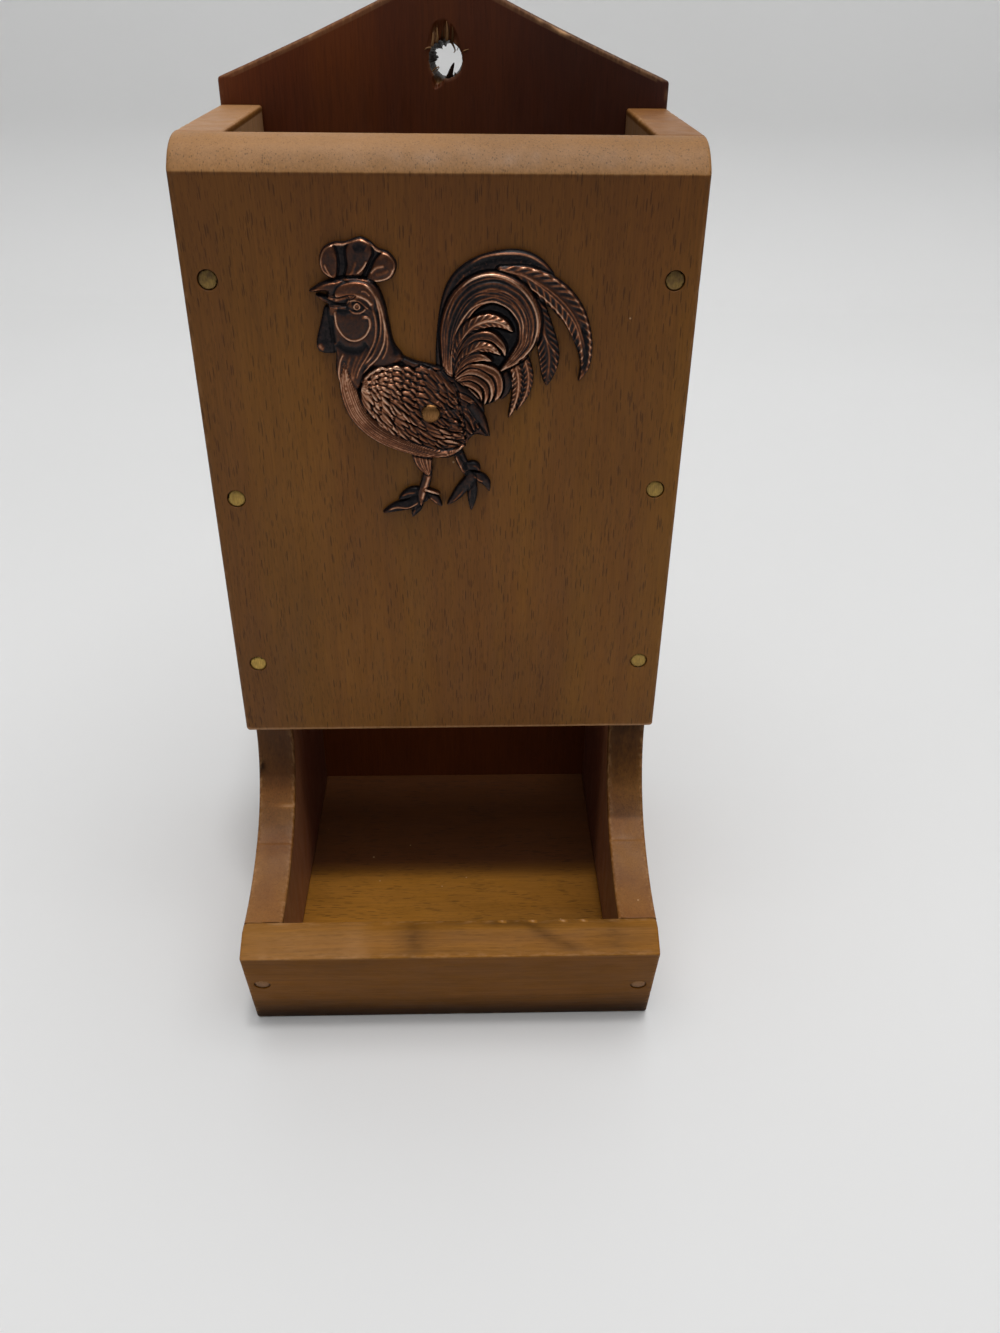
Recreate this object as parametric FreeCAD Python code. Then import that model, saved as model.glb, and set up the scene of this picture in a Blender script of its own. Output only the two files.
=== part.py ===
"""Wall matchbox holder in stained beech, with a cast copper rooster on its front panel.

Six boards are butted and pinned: a tall back board, two sides, a floor between them, a lip
that leans outwards across the front of the tray, and a front panel that covers the sides'
front edges.  Boxes drop in at the open top and leave through the gap above the lip.

Frame: +Z up, X across, the back board at +Y.  Origin at the bottom centre.  Millimetres.
"""
import FreeCAD, Part
import math
import os

Vector = FreeCAD.Vector

# ---------------------------------------------------------------- driving dimensions
STOCK = 7.5               # thickness of all six boards
WIDTH = 81.0              # across the back board, the panel and the lip
DEPTH = 83.6              # from the lip's top arris to the wall
BOX_HEIGHT = 162.0        # flush tops of the sides and the panel
EASE = 0.5                # sanded arrises
TOUCHING = 1e-6           # ends of edges nearer than this meet

SHOULDER_HEIGHT = 166.3   # where the back board's shaped top starts
CREST_HEIGHT = 181.5
CREST_HALF = 9.0          # half width of the rounded crest
CREST_RISE = 1.9          # height of the rounded crest
TOP_HOLLOW = 0.4          # how far the sloping top sags below a straight line
HANGING_HOLE_HEIGHT = 169.3
HANGING_HOLE_R = 3.0

PANEL_SET_BACK = 30.8     # panel's face behind the lip's top arris
PANEL_FOOT = 56.3         # panel's lower edge above the base
PANEL_ROUND = 8.5         # radius of the rounded-over top

LIP_OVERHANG = 5.8        # how far the lip's face leans out over its foot
LIP_ARRIS = 23.7          # height of the lip's front arris
LIP_TOP = 26.2
LIP_ROUND = 6.2           # radius over the lip's top
SWEEP_LOW = 42.0          # shallow radius of the sides' front curve, next to the lip
SWEEP_HIGH = 23.0         # tight radius of the same curve, next to the panel

PIN_HEAD_R = 1.55
PIN_HEAD = 0.9            # thickness of the head
PIN_SHANK = 1.4           # across the square shank
PIN_LENGTH = 19.0
PIN_POINT = 2.0
PIN_SET = 0.2             # heads are set a little under the surface
PIN_SIDES = 12            # flats that stand for a small head's round rim
PIN_INSET = 4.0           # panel pins in from the panel's side edges
PANEL_PINS = {-1: (71.1, 105.2, 142.0), 1: (71.3, 106.9, 142.2)}  # heights, left and right
LIP_PIN_INSET = 3.0
LIP_PIN_HEIGHTS = {-1: 13.8, 1: 11.6}
BACK_PIN_HEIGHTS = (22.0, 88.0, 150.0)
FLOOR_PIN_OFFSETS = (28.0, 64.0)      # behind the lip's arris, through the sides
BACK_FLOOR_PIN_X = 19.0               # through the back board into the floor

ROOSTER_PIN = (-2.3, 121.4)           # x, z of the pin that holds the casting
ROOSTER_PIN_HEAD_R = 1.6
ROOSTER_PIN_HEAD = 0.7
ROOSTER_PIN_LENGTH = 9.0
ROOSTER_SEAT = 2.1                    # the pin head's seat above the panel

# ---------------------------------------------------------------- derived places
HALF = WIDTH / 2
INNER = HALF - STOCK
FRONT = -DEPTH / 2
BACK = DEPTH / 2
BACK_FACE = BACK - STOCK
PANEL_FACE = FRONT + PANEL_SET_BACK
PANEL_BACK = PANEL_FACE + STOCK
LEAN = math.atan2(LIP_OVERHANG, LIP_ARRIS)
LIP_FOOT = FRONT + LIP_OVERHANG
LIP_DEPTH = STOCK / math.cos(LEAN)


def lip_face(z):
    """Y of the lip's leaning front face at height z."""
    return LIP_FOOT - z * math.tan(LEAN)


def lip_rear(z):
    """Y of the lip's leaning back face at height z."""
    return lip_face(z) + LIP_DEPTH


# ---------------------------------------------------------------- shared helpers
def arc(centre, radius, start, end, point):
    """Circular edge about centre from start to end, both in degrees; point(u, v) places it."""
    spots = []
    for degrees in (start, (start + end) / 2, end):
        turn = math.radians(degrees)
        spots.append(point(centre[0] + radius * math.cos(turn), centre[1] + radius * math.sin(turn)))
    return Part.Arc(*spots).toShape()


def line(start, end):
    return Part.LineSegment(start, end).toShape()


def chain(edges):
    """Closed outline from edges in order, with a straight edge over every gap."""
    closed = []
    for edge, following in zip(edges, edges[1:] + edges[:1]):
        closed.append(edge)
        end = edge.valueAt(edge.LastParameter)
        start = following.valueAt(following.FirstParameter)
        if end.distanceToPoint(start) > TOUCHING:
            closed.append(line(end, start))
    return Part.Wire(closed)


def prism(edges, direction):
    return Part.Face(chain(edges)).extrude(direction)


def side_on(y, z):
    """A point of a section seen from the side, at the left of the object."""
    return Vector(-HALF, y, z)


def across(shape_edges):
    """Section seen from the side, carried across the full width."""
    return prism(shape_edges, Vector(WIDTH, 0, 0))


def eased_plan(front, back, height):
    """Tall block, full width, whose two front corners are rounded by EASE in plan."""
    def plan(x, y):
        return Vector(x, y, 0)
    left = arc((-HALF + EASE, front + EASE), EASE, 180, 270, plan)
    right = arc((HALF - EASE, front + EASE), EASE, 270, 360, plan)
    rear = line(plan(HALF, back), plan(-HALF, back))
    return prism([left, right, rear], Vector(0, 0, height))


# ---------------------------------------------------------------- pins
def ring(radius, sides, z):
    """Regular outline with its corners on a circle about the Z axis."""
    corners = [Vector(radius * math.cos(2 * math.pi * (k + 0.5) / sides),
                      radius * math.sin(2 * math.pi * (k + 0.5) / sides), z) for k in range(sides)]
    return Part.makePolygon(corners + corners[:1])


def place(shape, spot, direction):
    """Turn a shape made along +Z to point along direction, with its start at spot."""
    turn = FreeCAD.Rotation(Vector(0, 0, 1), direction)
    moved = shape.copy()
    moved.Placement = FreeCAD.Placement(spot, turn)
    return moved


def pointed_shank(start, length):
    """Square shank along Z from start, drawn to a point at length."""
    corner_r = PIN_SHANK / math.sqrt(2)
    shank = Part.Face(ring(corner_r, 4, start)).extrude(Vector(0, 0, length - PIN_POINT - start))
    point = Part.makeLoft([ring(corner_r, 4, length - PIN_POINT), Part.Vertex(0, 0, length)], True, True)
    return shank.fuse(point)


def pin(spot, direction):
    """Flat-headed pin driven in at spot, its head just under the surface."""
    head = Part.Face(ring(PIN_HEAD_R, PIN_SIDES, 0)).extrude(Vector(0, 0, PIN_HEAD))
    whole = head.fuse(pointed_shank(PIN_HEAD, PIN_LENGTH)).removeSplitter()
    return place(whole, spot + direction * PIN_SET, direction)


def pin_hole(spot, direction):
    """Wood that a pin displaces, open at the surface."""
    mouth = Part.Face(ring(PIN_HEAD_R, PIN_SIDES, -EASE)).extrude(Vector(0, 0, EASE + PIN_SET))
    return pin(spot, direction).fuse(place(mouth, spot, direction))


def panel_pin_places():
    into = Vector(0, 1, 0)
    return [(Vector(side * (HALF - PIN_INSET), PANEL_FACE, z), into)
            for side, heights in PANEL_PINS.items() for z in heights]


def lip_pin_places():
    into = Vector(0, math.cos(LEAN), math.sin(LEAN))
    return [(Vector(side * (HALF - LIP_PIN_INSET), lip_face(z), z), into)
            for side, z in LIP_PIN_HEIGHTS.items()]


def back_pin_places():
    into = Vector(0, -1, 0)
    sides = [(Vector(side * (HALF - STOCK / 2), BACK, z), into)
             for side in (-1, 1) for z in BACK_PIN_HEIGHTS]
    floor = [(Vector(side * BACK_FLOOR_PIN_X, BACK, STOCK / 2), into) for side in (-1, 1)]
    return sides + floor


def floor_pin_places():
    return [(Vector(side * HALF, FRONT + offset, STOCK / 2), Vector(-side, 0, 0))
            for side in (-1, 1) for offset in FLOOR_PIN_OFFSETS]


ALL_PINS = panel_pin_places() + lip_pin_places() + back_pin_places() + floor_pin_places()


def drilled(board):
    """Board with a hole for every pin that reaches it."""
    holes = []
    for spot, direction in ALL_PINS:
        hole = pin_hole(spot, direction)
        if hole.BoundBox.intersect(board.BoundBox):
            holes.append(hole)
    return board.cut(holes) if holes else board


# ---------------------------------------------------------------- boards
def side_profile():
    """Section of a side: leaning foot, two tangent hollow arcs up to the panel, square back."""
    low_centre = (lip_rear(LIP_TOP), LIP_TOP + SWEEP_LOW)
    reach = PANEL_BACK - SWEEP_HIGH - low_centre[0]
    blend = math.degrees(math.acos(reach / (SWEEP_LOW - SWEEP_HIGH)))
    rise = (SWEEP_LOW - SWEEP_HIGH) * math.sin(math.radians(blend))
    high_centre = (PANEL_BACK - SWEEP_HIGH, low_centre[1] - rise)
    return [
        line(side_on(lip_rear(0), 0), side_on(lip_rear(LIP_TOP), LIP_TOP)),
        arc(low_centre, SWEEP_LOW, -90, -blend, side_on),
        arc(high_centre, SWEEP_HIGH, -blend, 0, side_on),
        line(side_on(PANEL_BACK, BOX_HEIGHT), side_on(BACK_FACE, BOX_HEIGHT)),
        line(side_on(BACK_FACE, BOX_HEIGHT), side_on(BACK_FACE, 0)),
    ]


def side_board(side):
    board = prism(side_profile(), Vector(STOCK, 0, 0))
    if side > 0:
        board.translate(Vector(WIDTH - STOCK, 0, 0))
    return drilled(board)


def back_board():
    """Tall board with a gently hollow, sloping top that rises to a rounded crest."""
    def front_on(x, z):
        return Vector(x, BACK_FACE, z)
    crest_start = CREST_HEIGHT - CREST_RISE
    middle = (HALF + CREST_HALF) / 2
    middle_height = (SHOULDER_HEIGHT + crest_start) / 2 - TOP_HOLLOW
    right = Part.Arc(front_on(HALF, SHOULDER_HEIGHT), front_on(middle, middle_height),
                     front_on(CREST_HALF, crest_start)).toShape()
    crest = Part.Arc(front_on(CREST_HALF, crest_start), front_on(0, CREST_HEIGHT),
                     front_on(-CREST_HALF, crest_start)).toShape()
    left = Part.Arc(front_on(-CREST_HALF, crest_start), front_on(-middle, middle_height),
                    front_on(-HALF, SHOULDER_HEIGHT)).toShape()
    foot = line(front_on(-HALF, 0), front_on(HALF, 0))
    board = prism([right, crest, left, foot], Vector(0, STOCK, 0))
    rim = Vector(0, BACK_FACE, HANGING_HOLE_HEIGHT)
    hole = Part.makeCylinder(HANGING_HOLE_R, STOCK, rim, Vector(0, 1, 0))
    return drilled(board.cut(hole))


def front_panel():
    """Panel whose top front is rounded over and meets the face in a crisp crease."""
    round_centre = (PANEL_BACK, BOX_HEIGHT - PANEL_ROUND)
    crease = math.degrees(math.acos(STOCK / PANEL_ROUND))
    section = [
        arc(round_centre, PANEL_ROUND, 90, 180 - crease, side_on),
        arc((PANEL_FACE + EASE, PANEL_FOOT + EASE), EASE, 180, 270, side_on),
        line(side_on(PANEL_BACK, PANEL_FOOT), side_on(PANEL_BACK, BOX_HEIGHT)),
    ]
    board = across(section).common(eased_plan(PANEL_FACE, PANEL_BACK, BOX_HEIGHT))
    return drilled(board.cut(rooster_pin()))


def tray_floor():
    """Board between the sides, its front edge cut to the lip's lean."""
    section = [
        line(side_on(lip_rear(0), 0), side_on(lip_rear(STOCK), STOCK)),
        line(side_on(BACK_FACE, STOCK), side_on(BACK_FACE, 0)),
    ]
    board = across(section)
    between = Part.makeBox(2 * INNER, DEPTH, STOCK, Vector(-INNER, FRONT, 0))
    return drilled(board.common(between))


def tray_lip():
    """Leaning board, parallel faces, with its top rounded over to the front arris."""
    drop = LIP_TOP - LIP_ARRIS
    run = math.sqrt(2 * LIP_ROUND * drop - drop ** 2)
    start = math.degrees(math.asin((LIP_ROUND - drop) / LIP_ROUND))
    section = [
        line(side_on(LIP_FOOT, 0), side_on(FRONT, LIP_ARRIS)),
        arc((FRONT + run, LIP_TOP - LIP_ROUND), LIP_ROUND, 180 - start, 90, side_on),
        line(side_on(lip_rear(LIP_TOP), LIP_TOP), side_on(lip_rear(0), 0)),
    ]
    return drilled(across(section))


# ---------------------------------------------------------------- rooster casting
# Places on the casting are x, z of the object; its flat back lies on the panel's face.
# A blade is (points of its spine from root to tip, half width, width at the root as a share of
# that, place of the widest point along the spine, height).
TAIL = (
    (((-0.3, 126.5), (-0.6, 134.0), (1.2, 140.8), (5.2, 144.8), (10.5, 146.0), (17.7, 142.1)),
     1.1, 0.5, 0.6, 1.2),
    (((4.5, 142.4), (10.0, 144.0), (15.5, 142.0), (20.4, 137.2), (22.7, 131.5), (22.1, 126.3)),
     1.7, 0.3, 0.55, 1.7),
    (((15.2, 138.5), (16.6, 133.0), (16.8, 125.8)), 1.5, 0.5, 0.5, 1.1),
    (((11.5, 131.0), (12.0, 126.5), (10.6, 120.1)), 1.1, 0.8, 0.4, 1.5),
    (((13.2, 131.5), (13.6, 126.5), (11.6, 121.2)), 0.9, 0.8, 0.4, 1.3),
    (((1.2, 126.0), (1.0, 133.0), (3.2, 139.3), (7.4, 141.5), (11.8, 139.6), (13.4, 135.6),
      (12.5, 131.4), (9.0, 128.1)), 2.1, 0.3, 0.5, 2.2),
    (((1.9, 126.8), (2.4, 131.0), (4.6, 134.5), (7.6, 135.2), (11.0, 131.6)), 1.7, 0.4, 0.55, 1.5),
    (((2.0, 126.9), (3.0, 129.8), (5.6, 131.4), (8.8, 129.6)), 1.3, 0.5, 0.5, 1.3),
    (((7.4, 129.3), (9.3, 126.2), (8.3, 122.9)), 1.1, 0.6, 0.4, 1.1),
    (((1.6, 126.4), (5.0, 127.8), (7.4, 122.9)), 0.95, 0.5, 0.5, 1.9),
    (((1.0, 125.4), (3.6, 126.4), (5.9, 125.2), (6.3, 122.8)), 0.75, 0.5, 0.5, 1.7),
    (((-0.5, 124.7), (2.9, 125.0), (5.9, 123.2)), 0.65, 0.7, 0.5, 1.6),
)
SADDLE = (
    (((-3.0, 123.8), (2.5, 123.5), (5.6, 121.0), (7.5, 117.0)), 0.9, 0.8, 0.5, 1.9),
    (((-2.0, 122.6), (2.6, 121.6), (5.9, 117.6)), 1.0, 0.8, 0.5, 1.8),
)
NECK = (
    (((-13.2, 139.0), (-12.0, 134.5), (-13.0, 130.0), (-14.9, 125.5), (-13.8, 120.8), (-10.0, 116.8)),
     3.7, 0.9, 0.25, 2.0),
    (((-10.3, 139.5), (-9.4, 134.5), (-13.2, 127.0)), 1.1, 0.7, 0.5, 2.3),
    (((-9.6, 136.5), (-8.4, 131.8), (-1.2, 128.3)), 0.9, 0.5, 0.4, 1.3),
)
BEAK_AND_WATTLES = (
    (((-13.6, 141.2), (-17.0, 141.0), (-20.8, 140.5)), 1.2, 1.0, 0.2, 1.8),
    (((-14.5, 139.3), (-17.2, 139.5), (-20.0, 140.2)), 0.9, 1.0, 0.2, 1.4),
    (((-17.6, 138.8), (-19.0, 134.5), (-18.3, 130.9)), 1.3, 0.5, 0.65, 1.3),
    (((-16.6, 138.0), (-17.4, 134.6), (-17.0, 131.2)), 1.2, 0.7, 0.5, 1.1),
)
LEGS = (
    (((-4.2, 115.5), (-2.9, 111.0), (-4.3, 104.9)), 1.6, 1.0, 0.1, 1.4),
    (((-3.6, 106.6), (-7.2, 104.5), (-11.1, 103.1)), 0.75, 1.0, 0.4, 1.1),
    (((-3.8, 106.9), (-5.8, 106.8), (-8.1, 105.9)), 0.7, 1.0, 0.4, 0.9),
    (((-3.9, 106.4), (-4.7, 104.4), (-6.1, 102.3)), 0.75, 1.0, 0.4, 1.0),
    (((-3.8, 106.2), (-2.6, 105.4), (-0.8, 104.2)), 0.75, 1.0, 0.3, 0.9),
    (((1.6, 115.0), (3.9, 110.2), (4.2, 103.4)), 0.95, 1.0, 0.2, 1.3),
    (((4.4, 108.6), (2.7, 107.0), (0.2, 104.6)), 0.8, 1.0, 0.4, 1.0),
    (((3.9, 109.2), (5.6, 109.0), (7.4, 107.7)), 0.7, 1.0, 0.4, 1.0),
)
COMB = ((-17.4, 142.2), (-18.9, 144.6), (-18.0, 147.2), (-14.9, 147.8), (-12.5, 148.6), (-10.0, 147.0),
        (-7.4, 145.6), (-7.8, 142.7), (-11.0, 141.6))
COMB_HEIGHT = 1.4
BODY = ((-16.9, 125.5), (-15.2, 120.6), (-10.8, 116.6), (-5.0, 113.7), (0.3, 113.3), (4.2, 116.4),
        (5.0, 122.6), (0.5, 128.2), (-6.0, 128.9), (-12.5, 129.4))
BODY_HEIGHT = 2.1
WING = ((-13.9, 124.6), (-11.8, 120.2), (-6.6, 118.4), (-0.6, 118.2), (3.0, 119.8), (-0.2, 125.0),
        (-6.5, 128.1), (-12.0, 127.8))
WING_HEIGHT = 2.5
HEAD = (-13.4, 138.8, 3.9, 2.1)       # x, z, radius, height
STATIONS = 5              # places along a blade where its width is set out
BLADE_TOP = 0.5           # a blade's top as a share of its outline
MOUND_TOP = 0.72          # the same for a mound
BUTTON_TOP = 0.65         # the same for a small round button


def taper(s, root, peak):
    """Share of full width at s along a blade: swells from the root to the peak, closes at the tip."""
    swell = root + (1 - root) * math.sin(math.pi / 2 * min(s / peak, 1))
    closing = 1 - max(0, (s - peak) / (1 - peak)) ** 2
    return swell * closing


def smooth(points, closed=False):
    curve = Part.BSplineCurve()
    curve.interpolate(points, PeriodicFlag=closed)
    return curve


def blade_outline(spine, half_width, root, peak, level):
    """Closed outline at a level above the panel, widths set off square to the spine."""
    span = spine.LastParameter - spine.FirstParameter
    left, right = [], []
    for i in range(STATIONS + 1):
        s = i / STATIONS
        t = spine.FirstParameter + span * s
        middle = spine.value(t) + Vector(0, -level, 0)
        along = spine.tangent(t)[0]
        out = Vector(-along.z, 0, along.x) * (half_width * taper(s, root, peak))
        left.append(middle + out)
        right.append(middle - out)
    edges = [smooth(left).toShape(), smooth(right[::-1]).toShape(), line(right[0], left[0])]
    return Part.Wire(edges)


def blade(points, half_width, root, peak, height):
    """Feather, toe or beak: its full outline on the panel, drawn in to a crown on top."""
    spine = smooth([Vector(x, PANEL_FACE, z) for x, z in points])
    foot = blade_outline(spine, half_width, root, peak, 0)
    top = blade_outline(spine, half_width * BLADE_TOP, root, peak, height)
    return Part.makeLoft([foot, top], True, True)


def mound(points, height):
    """Raised mass over a closed outline, drawn in towards its middle."""
    centre_x = sum(x for x, z in points) / len(points)
    centre_z = sum(z for x, z in points) / len(points)
    outlines = []
    for share, level in ((1, 0), (MOUND_TOP, height)):
        spots = [Vector(centre_x + (x - centre_x) * share, PANEL_FACE - level,
                        centre_z + (z - centre_z) * share) for x, z in points]
        outlines.append(Part.Wire(smooth(spots, closed=True).toShape()))
    return Part.makeLoft(outlines, True, True)


def button(x, z, radius, height, base=0.0):
    """Small round mound whose flat back is at base above the panel."""
    rings = [ring(radius, PIN_SIDES, 0), ring(radius * BUTTON_TOP, PIN_SIDES, height)]
    return place(Part.makeLoft(rings, True, True), Vector(x, PANEL_FACE - base, z), Vector(0, -1, 0))


def rooster_pin():
    """Round-headed pin that sits on the casting's seat and runs into the panel."""
    x, z = ROOSTER_PIN
    head = button(x, z, ROOSTER_PIN_HEAD_R, ROOSTER_PIN_HEAD, ROOSTER_SEAT)
    seat = Vector(x, PANEL_FACE - ROOSTER_SEAT, z)
    shank = place(pointed_shank(0, ROOSTER_PIN_LENGTH), seat, Vector(0, 1, 0))
    return head.fuse(shank).removeSplitter()


def rooster():
    """One casting: body, wing, neck, head, comb, legs and layered tail feathers, flat at the back."""
    masses = [mound(WING, WING_HEIGHT), mound(COMB, COMB_HEIGHT), button(*HEAD)]
    blades = [blade(*each) for each in TAIL + SADDLE + NECK + BEAK_AND_WATTLES + LEGS]
    casting = mound(BODY, BODY_HEIGHT).multiFuse(masses + blades)
    x, z = ROOSTER_PIN
    seat = Part.Face(ring(ROOSTER_PIN_HEAD_R, PIN_SIDES, 0)).extrude(Vector(0, 0, STOCK))
    seat = place(seat, Vector(x, PANEL_FACE - ROOSTER_SEAT, z), Vector(0, -1, 0))
    return casting.cut([seat, rooster_pin()])


# ---------------------------------------------------------------- writing the pieces
def pins(places):
    return Part.makeCompound([pin(spot, direction) for spot, direction in places])


NODES = {
    "back_board": back_board,
    "left_side": lambda: side_board(-1),
    "right_side": lambda: side_board(1),
    "front_panel": front_panel,
    "tray_floor": tray_floor,
    "tray_lip": tray_lip,
    "front_panel_pins": lambda: pins(panel_pin_places()),
    "tray_lip_pins": lambda: pins(lip_pin_places()),
    "back_board_pins": lambda: pins(back_pin_places()),
    "floor_pins": lambda: pins(floor_pin_places()),
    "rooster": rooster,
    "rooster_pin": rooster_pin,
}


def main():
    os.makedirs("parts", exist_ok=True)
    for name, make in NODES.items():
        shape = make()
        box = shape.BoundBox
        size = (box.XLength, box.YLength, box.ZLength)
        print("%-18s solids %2d  valid %s  volume %9.1f  size %6.2f %6.2f %6.2f"
              % (name, len(shape.Solids), shape.isValid(), shape.Volume, *size))
        shape.exportStep("parts/%s.step" % name)


main()
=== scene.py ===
# %% [markdown]
# # A wall matchbox holder in stained beech
# The real thing is six thin boards, pinned together, with a cast and copper-plated rooster on
# the front.  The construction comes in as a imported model.  This notebook dresses it: every board
# is rebuilt with sanded arrises and pin seats, the rooster becomes a full relief, and each
# surface gets the finish that its maker gave it.

# %% Load the fixed frame
import math
import bpy
import bmesh
import numpy as np
from mathutils import Matrix, Vector


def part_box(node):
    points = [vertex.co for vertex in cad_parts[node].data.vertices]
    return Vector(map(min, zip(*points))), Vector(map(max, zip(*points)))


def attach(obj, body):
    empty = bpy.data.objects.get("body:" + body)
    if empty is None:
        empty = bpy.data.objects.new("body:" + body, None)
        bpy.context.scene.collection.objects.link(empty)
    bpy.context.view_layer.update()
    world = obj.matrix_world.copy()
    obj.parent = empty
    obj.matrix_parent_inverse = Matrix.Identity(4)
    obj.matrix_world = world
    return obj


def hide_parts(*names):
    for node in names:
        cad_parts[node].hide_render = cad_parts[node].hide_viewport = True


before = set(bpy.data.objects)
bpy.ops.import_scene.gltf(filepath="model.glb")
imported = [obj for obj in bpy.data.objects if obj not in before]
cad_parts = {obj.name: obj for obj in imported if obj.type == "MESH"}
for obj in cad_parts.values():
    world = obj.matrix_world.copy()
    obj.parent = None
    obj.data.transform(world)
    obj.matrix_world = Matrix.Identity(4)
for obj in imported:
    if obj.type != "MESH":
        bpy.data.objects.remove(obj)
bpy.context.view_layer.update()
MM = 0.001
print("nodes:", ", ".join(sorted(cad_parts)))

# %% [markdown]
# ## The holder's own sizes
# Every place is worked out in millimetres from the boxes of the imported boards, so a board that
# is dressed here lands on the board that carries it.  Only the radii and the leans, which a box
# doesn't show, are written again.

# %% Sizes in millimetres
def box_mm(node):
    """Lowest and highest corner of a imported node, in millimetres."""
    low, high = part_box(node)
    return np.array(low) / MM, np.array(high) / MM


back_low, back_high = box_mm("back_board")
panel_low, panel_high = box_mm("front_panel")
lip_low, lip_high = box_mm("tray_lip")
floor_low, floor_high = box_mm("tray_floor")
HALF = back_high[0]
STOCK = back_high[1] - back_low[1]
BACK_FACE = back_low[1]
LIP_ARRIS = 23.7                   # height of the lip's front arris
LIP_ROUND = 6.2                    # radius over the lip's top
LIP_OVERHANG = 5.8                 # how far the lip leans out over its foot
PANEL_ROUND = 8.5                  # radius of the panel's rounded-over top
SWEEP_LOW, SWEEP_HIGH = 42.0, 23.0     # radii of the sides' hollow front edge
SHOULDER, CREST_CORNER, CREST_ROUND = 166.3, 183.4, 22.2
HOLE_HEIGHT, HOLE_R = 169.3, 3.0
EASE = 0.5                         # sanded arrises
LEAN = math.atan2(LIP_OVERHANG, LIP_ARRIS)
LIP_FOOT = lip_low[1] + LIP_OVERHANG
LIP_DEPTH = STOCK / math.cos(LEAN)
PIN_R, SEAT_R, SEAT_DEPTH = 1.55, 1.61, 1.1


def lip_face(z):
    """Y of the lip's leaning front at height z."""
    return LIP_FOOT - z * math.tan(LEAN)


print("stock %.2f, half width %.2f, lean %.1f degrees" % (STOCK, HALF, math.degrees(LEAN)))

# %% [markdown]
# ## The camera
# The picture was taken from a little above the holder's top, close in, looking down at 33
# degrees.  A close, wide view makes the top look broader than the foot, so the camera's place
# matters more than its angle.  Its place, turns and lens are set from the holder's own corners.

# %% Camera at the photographed viewpoint
CAMERA_PLACE = Vector((3.79, -184.5, 182.84)) * MM
YAW, PITCH, ROLL = (math.radians(a) for a in (1.965, 32.97, 0.746))
LENS, SENSOR = 28.99, 36.0
level_right = Vector((math.cos(YAW), -math.sin(YAW), 0))
level_ahead = Vector((math.sin(YAW), math.cos(YAW), 0))
ahead = level_ahead * math.cos(PITCH) - Vector((0, 0, 1)) * math.sin(PITCH)
above = level_ahead * math.sin(PITCH) + Vector((0, 0, 1)) * math.cos(PITCH)
right = level_right * math.cos(ROLL) + above * math.sin(ROLL)
upward = above * math.cos(ROLL) - level_right * math.sin(ROLL)
camera_data = bpy.data.cameras.new("camera")
camera_data.lens = LENS
camera_data.sensor_width = SENSOR
camera_data.clip_start = 0.01
camera = bpy.data.objects.new("camera", camera_data)
turned = Matrix((right, upward, -ahead)).transposed().to_4x4()
camera.matrix_world = Matrix.Translation(CAMERA_PLACE) @ turned
bpy.context.scene.collection.objects.link(camera)
bpy.context.scene.camera = camera
print("camera at", tuple(round(v, 3) for v in camera.location))

# %% [markdown]
# ## Small tools for shapes
# A board is a stack of closed outlines from one face to the other.  Where two outlines are a
# little smaller than the ones between, the arris is sanded.  All points of a stack are worked
# out as one array, joined into quads by their row and column.

# %% Outlines
RUN_PITCH = 1.0        # mm between points of a straight run
ARC_PITCH = 0.4        # mm between points of a wide arc


def oblong(half_width, low, high):
    """Corners of an oblong, centred in x and from low to high, anticlockwise."""
    return [(-half_width, low), (half_width, low), (half_width, high), (-half_width, high)]


def outline(corners, radii, inset=0.0, counted=None):
    """Closed outline through corners (given anticlockwise), each turned by an arc of its radius.
    With an inset every side moves inwards by it: a corner moves along its mitre, and an arc's
    radius shrinks on an outer corner and grows on a hollow one.  The number of points comes
    from the corners called counted, so that all outlines of a board match point for point."""
    counts_on = np.asarray(corners if counted is None else counted, float)
    full_length = np.hypot(*(np.roll(counts_on, -1, 0) - counts_on).T)
    corners = np.asarray(corners, float)
    ahead_of = np.roll(corners, -1, 0) - corners
    length = np.hypot(*ahead_of.T)
    unit = ahead_of / length[:, None]
    inward = np.stack([-unit[:, 1], unit[:, 0]], 1)
    inward_before, unit_before = np.roll(inward, 1, 0), np.roll(unit, 1, 0)
    mitre = (inward + inward_before) / (1 + np.sum(inward * inward_before, 1))[:, None]
    moved = corners + mitre * inset
    turn = np.arctan2(unit_before[:, 0] * unit[:, 1] - unit_before[:, 1] * unit[:, 0],
                      np.sum(unit_before * unit, 1))
    side = np.sign(turn)
    radius = np.maximum(np.asarray(radii, float) - side * inset, 0.02)
    reach = radius * np.tan(np.abs(turn) / 2)
    full_reach = np.asarray(radii, float) * np.tan(np.abs(turn) / 2)
    pieces = []
    for k in range(len(corners)):
        following = (k + 1) % len(corners)
        steps = max(4, math.ceil(abs(turn[k]) * radii[k] / ARC_PITCH)) if radii[k] > 1 else 4
        angle = np.linspace(0, abs(turn[k]), steps + 1)[:, None]
        centre = moved[k] - unit_before[k] * reach[k] + side[k] * inward_before[k] * radius[k]
        pieces.append(centre + radius[k] * (np.sin(angle) * unit_before[k]
                                            - side[k] * np.cos(angle) * inward_before[k]))
        run = full_length[k] - full_reach[k] - full_reach[following]
        count = max(1, int(run / RUN_PITCH))
        start, end = moved[k] + unit[k] * reach[k], moved[following] - unit[k] * reach[following]
        share = (np.arange(1, count) / count)[:, None]
        pieces.append(start + (end - start) * share)
    return np.concatenate(pieces)


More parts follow.
